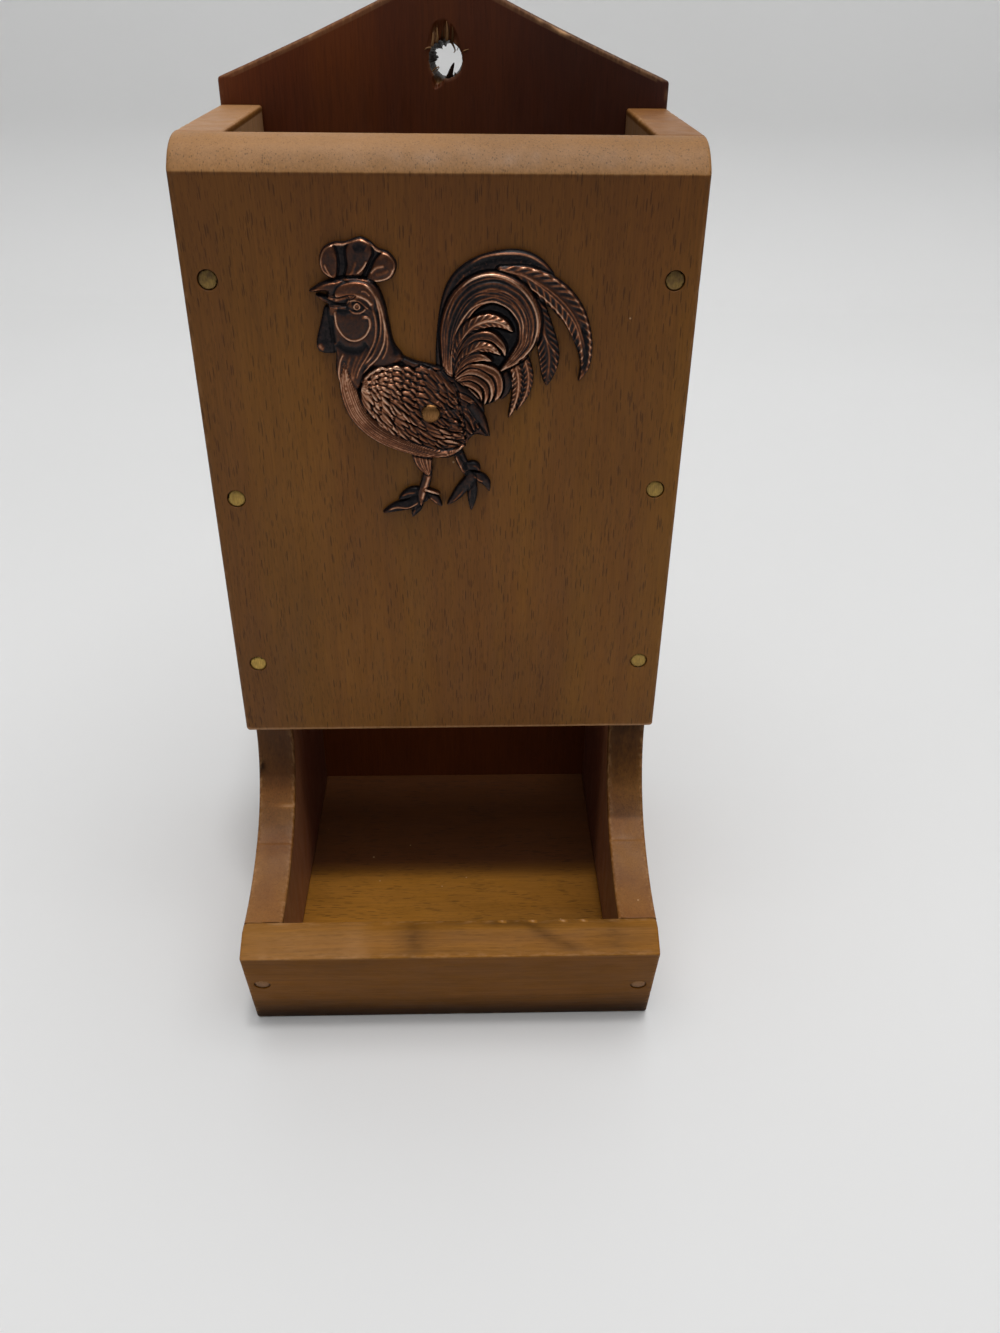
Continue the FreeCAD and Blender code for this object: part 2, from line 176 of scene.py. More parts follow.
def curve(points, count=90, closed=False):
    """Smooth line through points: on each stretch a cubic whose end slopes are half the chord
    between a point's two neighbours."""
    points = np.asarray(points, float)
    if closed:
        points = np.concatenate([points[-1:], points, points[:2]])
    else:
        points = np.concatenate([2 * points[:1] - points[1:2], points, 2 * points[-1:] - points[-2:-1]])
    place = np.linspace(0, len(points) - 3, count, endpoint=not closed)
    stretch = np.minimum(place.astype(int), len(points) - 4)
    t = (place - stretch)[:, None]
    a, b, c, d = (points[stretch + k] for k in range(4))
    return 0.5 * (2 * b + (c - a) * t + (2 * a - 5 * b + 4 * c - d) * t ** 2
                  + (3 * b - a - 3 * c + d) * t ** 3)


def eased_edge(thickness, ease=EASE):
    """Set-backs, insets and wear from one face of a board to the other: rings on the face, a
    quarter round of radius ease, the plain edge, a quarter round and rings on the far face."""
    angle = np.linspace(0, math.pi / 2, 5)
    setback = np.concatenate([np.zeros(3), ease * (1 - np.cos(angle)), [ease + 0.4, ease + 1.2]])
    inset = np.concatenate([[1.15, 0.92, 0.7], ease * (1 - np.sin(angle)), np.zeros(2)])
    wear = np.array([0, 0.1, 0.35, 0.8, 1, 1, 1, 0.7, 0.25, 0])
    return (np.concatenate([setback, thickness - setback[::-1]]), np.concatenate([inset, inset[::-1]]),
            np.concatenate([wear, wear[::-1]]))


print("an eased edge has", len(eased_edge(STOCK)[0]), "outlines")

# %% [markdown]
# ## From arrays to a mesh
# A stack becomes quads, and the flat faces at its ends are filled between the end outline and
# the rims of any pin seats, which stay true circles that way.  The flat faces are shaded flat
# and the rest smooth, as sanded wood looks.

# %% Mesh from stacks
def lattice(rows, columns, first=0, closed=True):
    """Quads between neighbouring rows of a grid: row r and r + 1, column c and c + 1, with the
    last column joined to the first where the rows are closed."""
    here = np.arange(columns if closed else columns - 1)
    after = (here + 1) % columns
    row = np.arange(rows - 1)[:, None] * columns
    quads = np.stack([row + here, row + after, row + columns + after, row + columns + here], -1)
    return quads.reshape(-1, 4) + first


def keep_values(mesh, **values):
    """Writes arrays of one number per point into the mesh as attributes."""
    for label, numbers in values.items():
        numbers = np.ravel(numbers).astype(np.float32)
        mesh.attributes.new(label, "FLOAT", "POINT").data.foreach_set("value", numbers)


def stacked_mesh(name, stacks, fills, **values):
    """Mesh of several stacks, each (rows, points, 3) in mm.  fills lists the flat faces, each a
    list of (stack, row) whose outlines bound it, so a second outline leaves a hole."""
    firsts = np.cumsum([0] + [s.shape[0] * s.shape[1] for s in stacks])
    points = np.concatenate([s.reshape(-1, 3) for s in stacks]) * MM
    quads = np.concatenate([lattice(s.shape[0], s.shape[1], f) for s, f in zip(stacks, firsts)])
    mesh = bpy.data.meshes.new(name)
    mesh.from_pydata(points.tolist(), [], quads.tolist())
    built = bmesh.new()
    built.from_mesh(mesh)
    built.verts.ensure_lookup_table()
    for face in built.faces:
        face.smooth = True
    for rims in fills:
        edges = []
        for stack, row in rims:
            columns = stacks[stack].shape[1]
            start = int(firsts[stack]) + (row % stacks[stack].shape[0]) * columns
            ring = [built.verts[start + k] for k in range(columns)]
            edges += [built.edges.get((a, b)) for a, b in zip(ring, ring[1:] + ring[:1])]
        bmesh.ops.triangle_fill(built, use_beauty=True, edges=edges)
    bmesh.ops.recalc_face_normals(built, faces=built.faces)
    if built.calc_volume(signed=True) < 0:
        bmesh.ops.reverse_faces(built, faces=built.faces)
    built.to_mesh(mesh)
    built.free()
    keep_values(mesh, **values)
    return mesh


def add_piece(name, mesh, material, slot_name, *nodes):
    """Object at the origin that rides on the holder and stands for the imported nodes."""
    mesh.materials.append(material)
    piece = bpy.data.objects.new(name, mesh)
    bpy.context.scene.collection.objects.link(piece)
    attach(piece, "root")
    if nodes:
        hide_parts(*nodes)
    print("%-18s %6d faces" % (name, len(mesh.polygons)))
    return piece


def smooth_step(value, low, high):
    """0 below low, 1 above high, and 3t^2 - 2t^3 between."""
    t = np.clip((value - low) / (high - low), 0, 1)
    return t * t * (3 - 2 * t)


def bell(x, centre, width):
    """1 at the centre, falling as exp(-((x - centre) / width)^2)."""
    return np.exp(-((np.asarray(x) - centre) / width) ** 2)


NOISE_CELLS = 4096


def lattice_noise(x, seed, pitch):
    """Smooth noise along a line: random heights every pitch mm, joined by a smooth step."""
    heights = np.random.default_rng(seed).uniform(-1, 1, NOISE_CELLS)
    place = np.asarray(x) / pitch + NOISE_CELLS // 2
    cell = np.floor(place).astype(int)
    share = place - cell
    share = share * share * (3 - 2 * share)
    return heights[cell % NOISE_CELLS] * (1 - share) + heights[(cell + 1) % NOISE_CELLS] * share


print("a closed lattice of 3 rows by 4 points has", len(lattice(3, 4)), "quads")

# %% [markdown]
# ## Colour helpers
# Colours are written as sRGB hex, as a paint chart gives them, and turned to linear light by one
# function.  One more function adds a shader node with its settings and its links.

# %% Colour and node helpers
def linear(code):
    """Linear RGBA from an sRGB hex colour: the low end divided by 12.92, the rest to the power 2.4."""
    srgb = np.array([int(code[k:k + 2], 16) for k in (1, 3, 5)]) / 255
    low = srgb / 12.92
    high = ((srgb + 0.055) / 1.055) ** 2.4
    return (*np.where(srgb <= 0.04045, low, high), 1.0)


def add(tree, kind, links=None, **settings):
    """Adds a node, sets its properties, and sets or links its inputs; returns its outputs."""
    made = tree.nodes.new("ShaderNode" + kind)
    for name, value in settings.items():
        setattr(made, name, value)
    for socket, value in (links or {}).items():
        if isinstance(value, bpy.types.NodeSocket):
            tree.links.new(value, made.inputs[socket])
        else:
            made.inputs[socket].default_value = value
    return made.outputs


def new_material(name):
    """Empty node material and its tree."""
    material = bpy.data.materials.new(name)
    material.use_nodes = True
    material.node_tree.nodes.clear()
    return material, material.node_tree


print("mid grey in linear light: %.3f" % linear("#808080")[0])

# %% [markdown]
# ## Stained beech
# Beech is pale, close-grained and speckled with short dark rays, seen end on as tiny dots.  Here
# it carries a brown stain under a thin satin lacquer, so the eye gets three things: slow, faint
# bands, fine fibres and lens-shaped flecks 1 to 3 mm long, all along the grain.  The stain has
# rubbed thin on the arrises and on rounded edges.  Shade is painted darker into the pin seats,
# the crease under the panel's rounding, the sides' hollow fronts, the hanging hole and the chute,
# and light is painted paler onto the rounded tops.  One recipe serves all boards.  It reads Object
# coordinates, turned so that the grain runs along Z, so the figure runs through the solid and
# shows as dots on end grain.  Three attributes of a board's mesh add what its own shape decides:
# "arris" is 1 on a sanded corner, the second says how thick the stain lies, from -1 for bare wood
# to 1 for a dark line, and carries the painted shade and light as well, and "inside" is 1 on a
# face in the chute, where fades paint light and shade.

# %% Beech figure
SMOOTH = {"interpolation_type": "SMOOTHSTEP"}     # a Map Range that eases in and out
COLOURS = {"data_type": "RGBA"}                   # a Mix of the colours 6 and 7, given as output 2


def grained(tree, texture, vector, across, along, slant=0.0, **links):
    """A texture whose forms are across mm wide and along mm long, stretched along the grain."""
    stretched = add(tree, "Mapping", {"Vector": vector, "Rotation": (0, slant, 0),
                                      "Scale": (1 / across, 1 / across, 1 / along)})["Vector"]
    return add(tree, texture, {"Vector": stretched, "Scale": 1.0, **links})


def beech_figure(tree, place, wood, light, dark, lines, fades, inside):
    """Slow bands of two stain colours that fade along the board, times a shade: the product of
    clouds, fibres and growth lines, each 1 give or take its own depth.  Returns the colour and
    the fibres."""
    bands = grained(tree, "TexNoise", wood, 8, 150, Detail=2.0)["Fac"]
    bands = add(tree, "MapRange", {"Value": bands, "From Min": 0.25, "From Max": 0.75}, **SMOOTH)[0]
    colour = add(tree, "Mix", {"Factor": bands, 6: linear(light), 7: linear(dark)}, **COLOURS)[2]
    clouds = grained(tree, "TexNoise", wood, 20, 38, Detail=3.0)["Fac"]
    fibres = grained(tree, "TexNoise", wood, 0.3, 7, Detail=3.0)["Fac"]
    growth = grained(tree, "TexNoise", wood, 0.8, 30, Detail=2.0)["Fac"]
    shade = 1.0
    for pattern, low, depth in ((clouds, 0.25, 0.12), (fibres, 0.2, 0.13), (growth, 0.25, lines)):
        swing = add(tree, "MapRange", {"Value": pattern, "From Min": low, "From Max": 1 - low,
                                       "To Min": 1 - depth, "To Max": 1 + depth}, **SMOOTH)[0]
        shade = add(tree, "Math", {0: shade, 1: swing}, operation="MULTIPLY")[0]
    within = add(tree, "Attribute", attribute_name="inside")["Fac"]
    for where, rows in ((1.0, fades), (within, inside)):
        for axis, start, end, to_colour, share in rows:
            along = add(tree, "SeparateXYZ", {"Vector": place})["XYZ".index(axis)]
            faded = add(tree, "MapRange", {"Value": along, "From Min": start * MM, "From Max": end * MM,
                                           "To Min": 0.0, "To Max": share}, **SMOOTH)[0]
            faded = add(tree, "Math", {0: faded, 1: where}, operation="MULTIPLY")[0]
            colour = add(tree, "Mix", {"Factor": faded, 6: colour, 7: linear(to_colour)}, **COLOURS)[2]
    return add(tree, "VectorMath", {0: colour, "Scale": shade}, operation="SCALE")[0], fibres


print("beech fibres are drawn 0.3 mm wide and 7 mm long")


# %% Beech rays
RAY_SIZES = ((0.3, 2.8, 0.1, 0.82, 0.7),      # width, length, slant, share left plain, darkness
             (0.2, 1.7, 0.08, 0.62, 0.4))


def beech_rays(tree, wood, flecked):
    """Lens-shaped cells about nine times longer than wide: those whose chance is above the share
    left plain are as dark as their middle is near."""
    rays = 0.0
    for across, along, slant, least, depth in RAY_SIZES:
        cell = grained(tree, "TexVoronoi", wood, across, along, slant)
        chance = add(tree, "SeparateColor", {"Color": cell["Color"]})[0]
        chosen = add(tree, "Math", {0: chance, 1: least}, operation="GREATER_THAN")[0]
        lens = add(tree, "MapRange", {"Value": cell["Distance"], "From Min": 0.44, "From Max": 0.3},
                   **SMOOTH)[0]
        ray = add(tree, "Math", {0: lens, 1: chosen}, operation="MULTIPLY")[0]
        ray = add(tree, "Math", {0: ray, 1: depth * flecked}, operation="MULTIPLY")[0]
        rays = add(tree, "Math", {0: rays, 1: ray}, operation="MAXIMUM")[0]
    return rays


print(len(RAY_SIZES), "sizes of rays")


# %% Beech stain and wear
BARE_WOOD_AND_LIGHT, THICK_STAIN_AND_SHADE = "#bd9066", "#170b07"
RUBBED_ARRIS, DUST = "#a67b50", "#b9966e"
RAY_LIGHT = 0.36                              # a ray keeps this share of the wood's light


def aged(tree, straight, colour, stain, rays, rubbing):
    """The colour under a stain of uneven thickness, where bare wood shows below 0 and it goes
    dark above 0.  The same number carries painted shade, which darkens, and painted light, which
    pales.  Then come the rays, wear on the arrises, and dust with tiny chips in the lacquer."""
    patchy = grained(tree, "TexNoise", straight, 0.7, 2.2, Detail=3.0)["Fac"]
    uneven = add(tree, "MapRange", {"Value": patchy, "From Min": 0.2, "From Max": 0.8,
                                    "To Min": 0.88, "To Max": 1.12}, **SMOOTH)[0]
    uneven = add(tree, "Math", {0: stain, 1: uneven}, operation="MULTIPLY")[0]
    paled, darkened = (add(tree, "MapRange", {"Value": uneven, "From Min": 0.0, "From Max": full},
                       **SMOOTH)[0] for full in (-1.0, 1.0))
    colour = add(tree, "Mix", {"Factor": paled, 6: colour, 7: linear(BARE_WOOD_AND_LIGHT)}, **COLOURS)[2]
    ray_colour = add(tree, "VectorMath", {0: colour, "Scale": RAY_LIGHT}, operation="SCALE")[0]
    faint = add(tree, "MapRange", {"Value": paled, "From Min": 0.0, "From Max": 0.5,
                                   "To Min": 1.0, "To Max": 0.3}, **SMOOTH)[0]
    flecks = add(tree, "Math", {0: rays, 1: faint}, operation="MULTIPLY")[0]
    arris = add(tree, "Attribute", attribute_name="arris")["Fac"]
    worn = add(tree, "MapRange", {"Value": patchy, "From Min": 0.42, "From Max": 0.72}, **SMOOTH)[0]
    worn = add(tree, "Math", {0: arris, 1: worn}, operation="MULTIPLY")[0]
    worn = add(tree, "Math", {0: worn, 1: rubbing}, operation="MULTIPLY")[0]
    chip = grained(tree, "TexVoronoi", straight, 7.0, 7.0)
    chance = add(tree, "SeparateColor", {"Color": chip["Color"]})[0]
    chosen = add(tree, "Math", {0: chance, 1: 0.6}, operation="GREATER_THAN")[0]
    speck = add(tree, "MapRange", {"Value": chip["Distance"], "From Min": 0.035, "From Max": 0.02},
                **SMOOTH)[0]
    speck = add(tree, "Math", {0: speck, 1: chosen}, operation="MULTIPLY")[0]
    speck = add(tree, "Math", {0: speck, 1: 0.6}, operation="MULTIPLY")[0]
    for share, over in ((flecks, ray_colour), (darkened, linear(THICK_STAIN_AND_SHADE)),
                        (worn, linear(RUBBED_ARRIS)), (speck, linear(DUST))):
        colour = add(tree, "Mix", {"Factor": share, 6: colour, 7: over}, **COLOURS)[2]
    return colour


print("bare beech %s, thick stain %s" % (BARE_WOOD_AND_LIGHT, THICK_STAIN_AND_SHADE))


# %% Beech recipe
def stained_beech(name, grain_axis, offset, light, dark, flecked=1.0, fades=(), rubbing=0.55,
                  sheen=0.22, inside=(), lines=0.04):
    """It mixes two stain colours.  Each of the fades is (axis, from, to, colour, share): towards
    the place "to" along an axis, in mm, the colour goes over to another one.  On the floor, the
    back, the lip and inside the chute these fades are painted light and shade.  Those in inside
    work only where the attribute "inside" is 1.  The share "lines" is the depth of the growth
    lines that run along the grain."""
    material, tree = new_material(name)
    turn = (0, math.radians(90), 0) if grain_axis == "x" else (0, 0, 0)
    place = add(tree, "TexCoord")["Object"]
    straight = add(tree, "Mapping", {"Vector": place, "Location": offset, "Rotation": turn,
                                     "Scale": (1 / MM,) * 3})["Vector"]

    # the grain wanders by up to 3 mm
    wander = grained(tree, "TexNoise", straight, 30, 60, Detail=1.0)["Color"]
    shift = add(tree, "VectorMath", {0: wander, "Scale": 3.0}, operation="SCALE")[0]
    wood = add(tree, "VectorMath", {0: straight, 1: shift}, operation="ADD")[0]
    figure, fibres = beech_figure(tree, place, wood, light, dark, lines, fades, inside)
    rays = beech_rays(tree, wood, flecked)
    stain = add(tree, "Attribute", attribute_name="stain")["Fac"]
    colour = aged(tree, straight, figure, stain, rays, rubbing)

    # satin lacquer over open fibres and sunken rays; duller where the stain lies thick and where shade
    # is painted
    satin = grained(tree, "TexNoise", straight, 3, 8, Detail=3.0)["Fac"]
    roughness = add(tree, "MapRange", {"Value": satin, "From Min": 0.2, "From Max": 0.8,
                                       "To Min": 0.4, "To Max": 0.56}, **SMOOTH)[0]
    gloss = add(tree, "MapRange", {"Value": stain, "From Min": 0.3, "From Max": 0.7,
                                   "To Min": sheen, "To Max": 0.35 * sheen}, **SMOOTH)[0]
    raised = add(tree, "Math", {0: fibres, 1: 0.7}, operation="MULTIPLY")[0]
    sunken = add(tree, "Math", {0: rays, 1: -1.2}, operation="MULTIPLY")[0]
    relief = add(tree, "Math", {0: raised, 1: sunken}, operation="ADD")[0]
    bump = add(tree, "Bump", {"Height": relief, "Strength": 0.3, "Distance": 0.05 * MM})["Normal"]
    skin = add(tree, "BsdfPrincipled", {"Base Color": colour, "Roughness": roughness, "Normal": bump,
                                        "IOR": 1.5, "Specular IOR Level": gloss})
    add(tree, "OutputMaterial", {"Surface": skin["BSDF"]})
    return material


# %% Beech for each board
# the panel goes darker towards the top and the left; above the crease at 157.3 mm the rounding turns
# paler, partly rubbed wood and partly painted light from above
panel_beech = stained_beech("stained_beech_panel", "z", (3, 0, 0), "#744a12", "#6a4013", 1.0,
                            [("Z", 120, 162, "#5a330e", 0.8), ("X", -14, -38, "#5a3814", 0.4),
                             ("Z", 157.3, 157.6, "#8c6338", 1.0)], 0.25)
# inside the chute the sides' colour is painted light and shade: redder overall, lighter at the front,
# darker further back and from 110 mm up, and lighter again at the top
side_beech = stained_beech("stained_beech_sides", "z", (37, 11, 5), "#845520", "#6f4218", 0.5,
                           inside=[("Y", 60, 50, "#9c6848", 1.0), ("Y", -4, 7, "#693a2a", 0.9),
                                   ("Z", 110, 140, "#472818", 1.0), ("Z", 146, 158, "#b88a60", 1.0)])
# the back's face is painted darker towards the right and below 160 mm, as shade in the chute; lower down
# it turns back to a lighter brown, and its rear face takes the sides' colour
back_beech = stained_beech("stained_beech_back", "z", (71, 23, 9), "#642f0a", "#57260b", 0.3,
                           [("X", -25, 38, "#2a100b", 0.8), ("Z", 170, 160, "#3c180a", 0.3),
                            ("Z", 100, 60, "#65300f", 0.6), ("Y", 34.8, 35.7, "#774a1c", 1.0)], 0.3)
# painted shadow: the floor is darker behind the panel's shadow line and towards the right
floor_beech = stained_beech("stained_beech_floor", "x", (11, 47, 3), "#946221", "#8a5a1b", 1.0,
                            [("X", -8, 30, "#5f3a12", 0.3), ("Y", -5, 3, "#4e2b12", 1.0)], 0.0)
# painted shade: the face below the arris is darker, and darker still towards the foot
lip_beech = stained_beech("stained_beech_lip", "x", (19, 5, 31), "#946528", "#84561f", 0.35,
                          [("Z", 23.9, 22.9, "#6d4311", 0.95), ("Z", 10, 0, "#190a03", 0.92)],
                          0.4, 0.06, lines=0.1)
torn_beech = stained_beech("torn_beech", "z", (5, 3, 1), "#8f6a41", "#6b4626", 0.3)
print("beech materials:", ", ".join(m.name for m in bpy.data.materials))

# %% [markdown]
# ## Nicks
# Corners that have been knocked for years are never straight.  Here and there an arris is pushed
# in by a tenth of a millimetre, and shows paler wood.

# %% Nicks
NICK_DEPTH = 0.14


def nicked(body, wear, seed, depth=NICK_DEPTH):
    """Moves worn points towards the middle of the board where two noises along the outline, a
    fine and a slow one, are both high.  Returns the moved stack and how bare each point is."""
    along = np.arange(body.shape[1])[None, :] * 1.0 + np.zeros(body.shape[:2])
    row = np.where(np.arange(body.shape[0]) < body.shape[0] // 2, 0, 517)[:, None]
    fine = smooth_step(lattice_noise(along + row, seed, 1.3), 0.1, 0.8)
    slow = smooth_step(lattice_noise(along + row, seed + 1, 9.0), 0.25, 0.6)
    nick = wear * fine * slow
    centre = (body.reshape(-1, 3).min(0) + body.reshape(-1, 3).max(0)) / 2
    inward = centre - body
    inward /= np.linalg.norm(inward, axis=-1, keepdims=True)
    return body + inward * (nick * depth)[..., None], nick


print("nicks up to %.2f mm deep" % NICK_DEPTH)

# %% [markdown]
# ## Front panel
# Its outline is a plain oblong that shrinks at the front and back arrises.  Its top is rounded
# over to a radius a little larger than the board is thick, so it meets the face in a crisp
# crease instead of flowing into it.

# %% Front panel
SEAT_POINTS = 36


def seat_stack(place, into, radius=SEAT_R, depth=SEAT_DEPTH, points=SEAT_POINTS):
    """Pocket for a pin head: circles about place, from the rim down a short wall, then inwards."""
    into = np.asarray(into, float)
    beside = np.cross(into, (0, 0, 1)) if abs(into[2]) < 0.9 else np.array((1.0, 0, 0))
    beside /= np.linalg.norm(beside)
    other = np.cross(into, beside)
    angle = np.linspace(0, 2 * math.pi, points, endpoint=False)[None, :, None]
    radii = np.array([radius + 0.06, radius, radius, radius * 0.7])[:, None, None]
    levels = np.array([0, 0.06, depth, depth])[:, None, None]
    ring = np.cos(angle) * beside + np.sin(angle) * other
    return np.asarray(place, float) + ring * radii + into * levels


def board_mesh(name, body, wear, stain, seats, seed, hole=None, inner=0.0, nicks=1.0):
    """Mesh of a board: its stack of outlines, nicked, a stack for a hole right through it, and
    seats for pins in its first face, or in its last where there is a hole, with painted shade in
    the seats.  The flat faces have no stain of their own but the last one's, inner, which marks a
    face inside the chute and can paint shade on it."""
    body, bare = nicked(body, nicks * np.broadcast_to(wear[:, None], body.shape[:2]), seed)
    stacks = [body, *seats]
    rims = [(k, 0) for k in range(1, len(stacks))]
    fills = [[(0, 0), *rims], [(0, -1)]] + [[(k, -1)] for k in range(1, len(stacks))]
    # painted shade: the wall and floor of each pin seat are dark
    seat_shade = np.tile(np.repeat([0.0, 0.25, 0.7, 0.7], SEAT_POINTS), len(seats))
    stain = np.ravel(stain - 0.6 * bare)
    stain[:body.shape[1]] = 0
    stain[-body.shape[1]:] = inner
    inside = np.zeros(len(stain) + len(seat_shade))
    inside[len(stain) - body.shape[1]:len(stain)] = inner != 0
    arris = np.concatenate([np.repeat(wear, body.shape[1]), 0 * seat_shade])
    stain = np.append(stain, seat_shade)
    if hole is not None:
        hole_rings, hole_arris, hole_stain = hole
        stacks.append(hole_rings)
        fills[0] = [(0, 0), (len(stacks) - 1, 0)]
        fills[1] = [(0, -1), (len(stacks) - 1, -1), *rims]
        arris, stain = np.append(arris, hole_arris), np.append(stain, hole_stain)
        inside = np.append(inside, 0 * hole_arris)
    return stacked_mesh(name, stacks, fills, arris=arris, stain=stain, inside=inside)


PIN_INSET = 4.0
PANEL_PINS = {-1: (71.1, 105.2, 142.0), 1: (71.3, 106.9, 142.2)}
panel_pin_places = [(side * (HALF - PIN_INSET), panel_low[1], z)
                    for side in (-1, 1) for z in PANEL_PINS[side]]
FOOT_DROP, FOOT_SLANT = 0.78, 0.26       # the sawn foot lies lower than square, more on the left
FOOT_REACH = 4.0                         # the height over which the drop fades out


def front_panel():
    """Stack of oblongs from the face to the back; the top follows the rounding's circle.  The
    foot was sawn a little out of level, lower on the left."""
    setback, inset, wear = eased_edge(STOCK)
    middle = np.linspace(1.9, STOCK - 1.9, 7)[1:-1]
    half_way = len(setback) // 2
    setback = np.insert(setback, half_way, middle)
    inset, wear = (np.insert(v, half_way, np.zeros(len(middle))) for v in (inset, wear))
    circle = panel_high[2] - PANEL_ROUND + np.sqrt(PANEL_ROUND ** 2 - (STOCK - setback) ** 2)
    on_face = setback < 1e-9
    at_back = setback > STOCK - EASE
    top = circle - np.where(on_face, np.maximum(inset - EASE, 0.04), np.where(at_back, inset, 0))
    counted = oblong(HALF, panel_low[2], panel_high[2])
    rings = [outline(oblong(HALF - i, panel_low[2] + i, t), [0.6] * 4, counted=counted)
             for i, t in zip(inset, top)]
    flat = np.stack(rings)
    x, z = flat[..., 0], flat[..., 1]
    near_foot = np.clip((panel_low[2] + FOOT_REACH - z) / FOOT_REACH, 0, 1)
    lower = z - (FOOT_DROP - FOOT_SLANT * x / HALF) * near_foot
    body = np.stack([x, np.broadcast_to((panel_low[1] + setback)[:, None], x.shape), lower], -1)

    # the rounding is rubbed pale and painted lighter as light from above, a painted shade line lies on
    # the face just below the crease, and the lower arris is worn
    upper = z > panel_high[2] - PANEL_ROUND - 0.2
    uneven = (0.9 + 0.15 * lattice_noise(x, 31, 7.0)) * (1 - 0.75 * smooth_step(x, -15, 40))
    pale = 0.05 - 0.42 * smooth_step(setback, 0.3, 3.0)[:, None]
    pale = pale * uneven * upper * (setback[:, None] > 0)
    crease = 0.3 * bell(inset, 0.8, 0.2)[:, None] * (setback < 1)[:, None] * upper
    foot = -0.5 * bell(setback, 0.15, 0.4)[:, None] * (z < panel_low[2] + 0.7)
    seats = [seat_stack(place, (0, 1, 0)) for place in panel_pin_places]
    return board_mesh("front_panel", body, wear, pale + crease + foot, seats, 61, nicks=0.35)


add_piece("panel", front_panel(), panel_beech, "stained_beech", "front_panel")

# %% [markdown]
# ## Sides
# Seen from the side, each has a hollow front edge: a shallow arc that leaves the lip level, and
# a tighter one that turns up to the panel.  Both arcs are the rounded corners of one outline
# whose two corners lie where the arcs' tangents cross, so they flow into each other.

# %% Sides
def sweep_corners():
    """Corners and radii of a side's outline in y and z, foot first, anticlockwise."""
    lip_top = lip_high[2]
    start = lip_face(lip_top) + LIP_DEPTH
    reach = panel_high[1] - SWEEP_HIGH - start
    blend = math.acos(reach / (SWEEP_LOW - SWEEP_HIGH))
    rise = (SWEEP_LOW - SWEEP_HIGH) * math.sin(blend)
    high_centre = lip_top + SWEEP_LOW - rise
    lower = (start + SWEEP_LOW * math.tan((math.pi / 2 - blend) / 2), lip_top)
    upper = (panel_high[1], high_centre - SWEEP_HIGH * math.tan(blend / 2))
    corners = [(LIP_FOOT + LIP_DEPTH, 0), (BACK_FACE, 0), (BACK_FACE, panel_high[2]),
               (panel_high[1], panel_high[2]), upper, lower, (start, lip_top)]
    return corners, [0.4, 0.4, 0.4, 0.4, SWEEP_HIGH, SWEEP_LOW, 0.08]


FLOOR_PIN_OFFSETS = (28.0, 64.0)      # behind the lip's front arris
floor_pin_places = {side: [(side * HALF, lip_low[1] + offset, STOCK / 2) for offset in FLOOR_PIN_OFFSETS]
                    for side in (-1, 1)}


# The end grain of a hollow front: its stain at the foot, and the heights over which it grows darker,
# partly smoke marks and partly painted shade under the panel
BARE_GRAIN = {-1: -0.17, 1: -0.14}
DARKER_UPWARDS = {-1: ((28.6, 32, 0.49), (39.5, 40.4, 0.12)),
                1: ((27.5, 31, 0.16), (32.2, 33.3, 0.42), (36, 47, 0.17))}
PALE_BAND, DARK_BAND, SAW_MARK = 37.4, 42.0, 35.0        # heights on the left side's front
# painted shade on the right side's face inside the chute; the left's small value only marks its face
INNER_SHADE = {-1: -0.01, 1: 0.3}                        # on the faces inside the chute


def side_board(side):
    """Stack of the side's outline across its thickness, from its outer face to its inner one."""
    setback, inset, wear = eased_edge(STOCK)
    corners, radii = sweep_corners()
    rings = np.stack([outline(corners, radii, i, counted=corners) for i in inset])
    y, z = rings[..., 0], rings[..., 1]
    body = np.stack([np.broadcast_to((side * (HALF - setback))[:, None], y.shape), y, z], -1)

    # bare wood on the top, paler partly as painted light from above; end grain on the hollow front:
    # pale below, dark above with painted shade under the panel, and on the left side a saw mark across
    # it
    top = (z > panel_high[2] - 0.3) & (y < BACK_FACE - 0.5)
    front = (y < panel_high[1] + 1) & (z < panel_low[2]) & (z > lip_high[2] - 0.6)
    across = setback[:, None]
    shade = BARE_GRAIN[side] + 0.08 * lattice_noise(z + 300 * side, 75, 3.1)
    shade += sum(rise * smooth_step(z, low, high) for low, high, rise in DARKER_UPWARDS[side])
    if side < 0:
        shade += 0.4 * bell(z, DARK_BAND, 1.2) * (across < 1.6) - 0.15 * bell(z, PALE_BAND, 1.7)
        shade -= 0.9 * bell(z, SAW_MARK, 0.3) * (across > 2.3)
    stain = (-0.5 + 0.3 * (side > 0)) * top + front * shade
    seats = [seat_stack(place, (-side, 0, 0)) for place in floor_pin_places[side]]
    name = "left_side" if side < 0 else "right_side"
    return board_mesh(name, body, wear, stain, seats, 71 + side, inner=INNER_SHADE[side], nicks=0.5)


for side, node in ((-1, "left_side"), (1, "right_side")):
    add_piece(node + "_board", side_board(side), side_beech, "stained_beech", node)

# %% [markdown]
# ## Tray lip
# The lip leans out by 14 degrees, and only its top is rounded.  Its outlines are oblongs whose
# top follows the rounding, planed a little flatter, from the front arris to the flat, and every
# point is then pushed out by the lean at its own height.

# %% Tray lip
LIP_PIN_INSET = 3.0
LIP_PIN_HEIGHTS = {-1: 13.8, 1: 11.6}
lip_into = (0, math.cos(LEAN), math.sin(LEAN))
lip_pin_places = [(side * (HALF - LIP_PIN_INSET), lip_face(LIP_PIN_HEIGHTS[side]), LIP_PIN_HEIGHTS[side])
                  for side in (-1, 1)]
SLANTING_MARK = ((5.0, -35.5), (12.0, -35.7), (14.8, -36.0), (17.6, -37.9), (20.9, -39.5), (24.3, -40.7))
CHIPS = (10.0, 16.0, 22.0, 26.0)         # places in x along the top's rear arris
PLANED = 0.85                            # how far the rounding is planed towards its chord


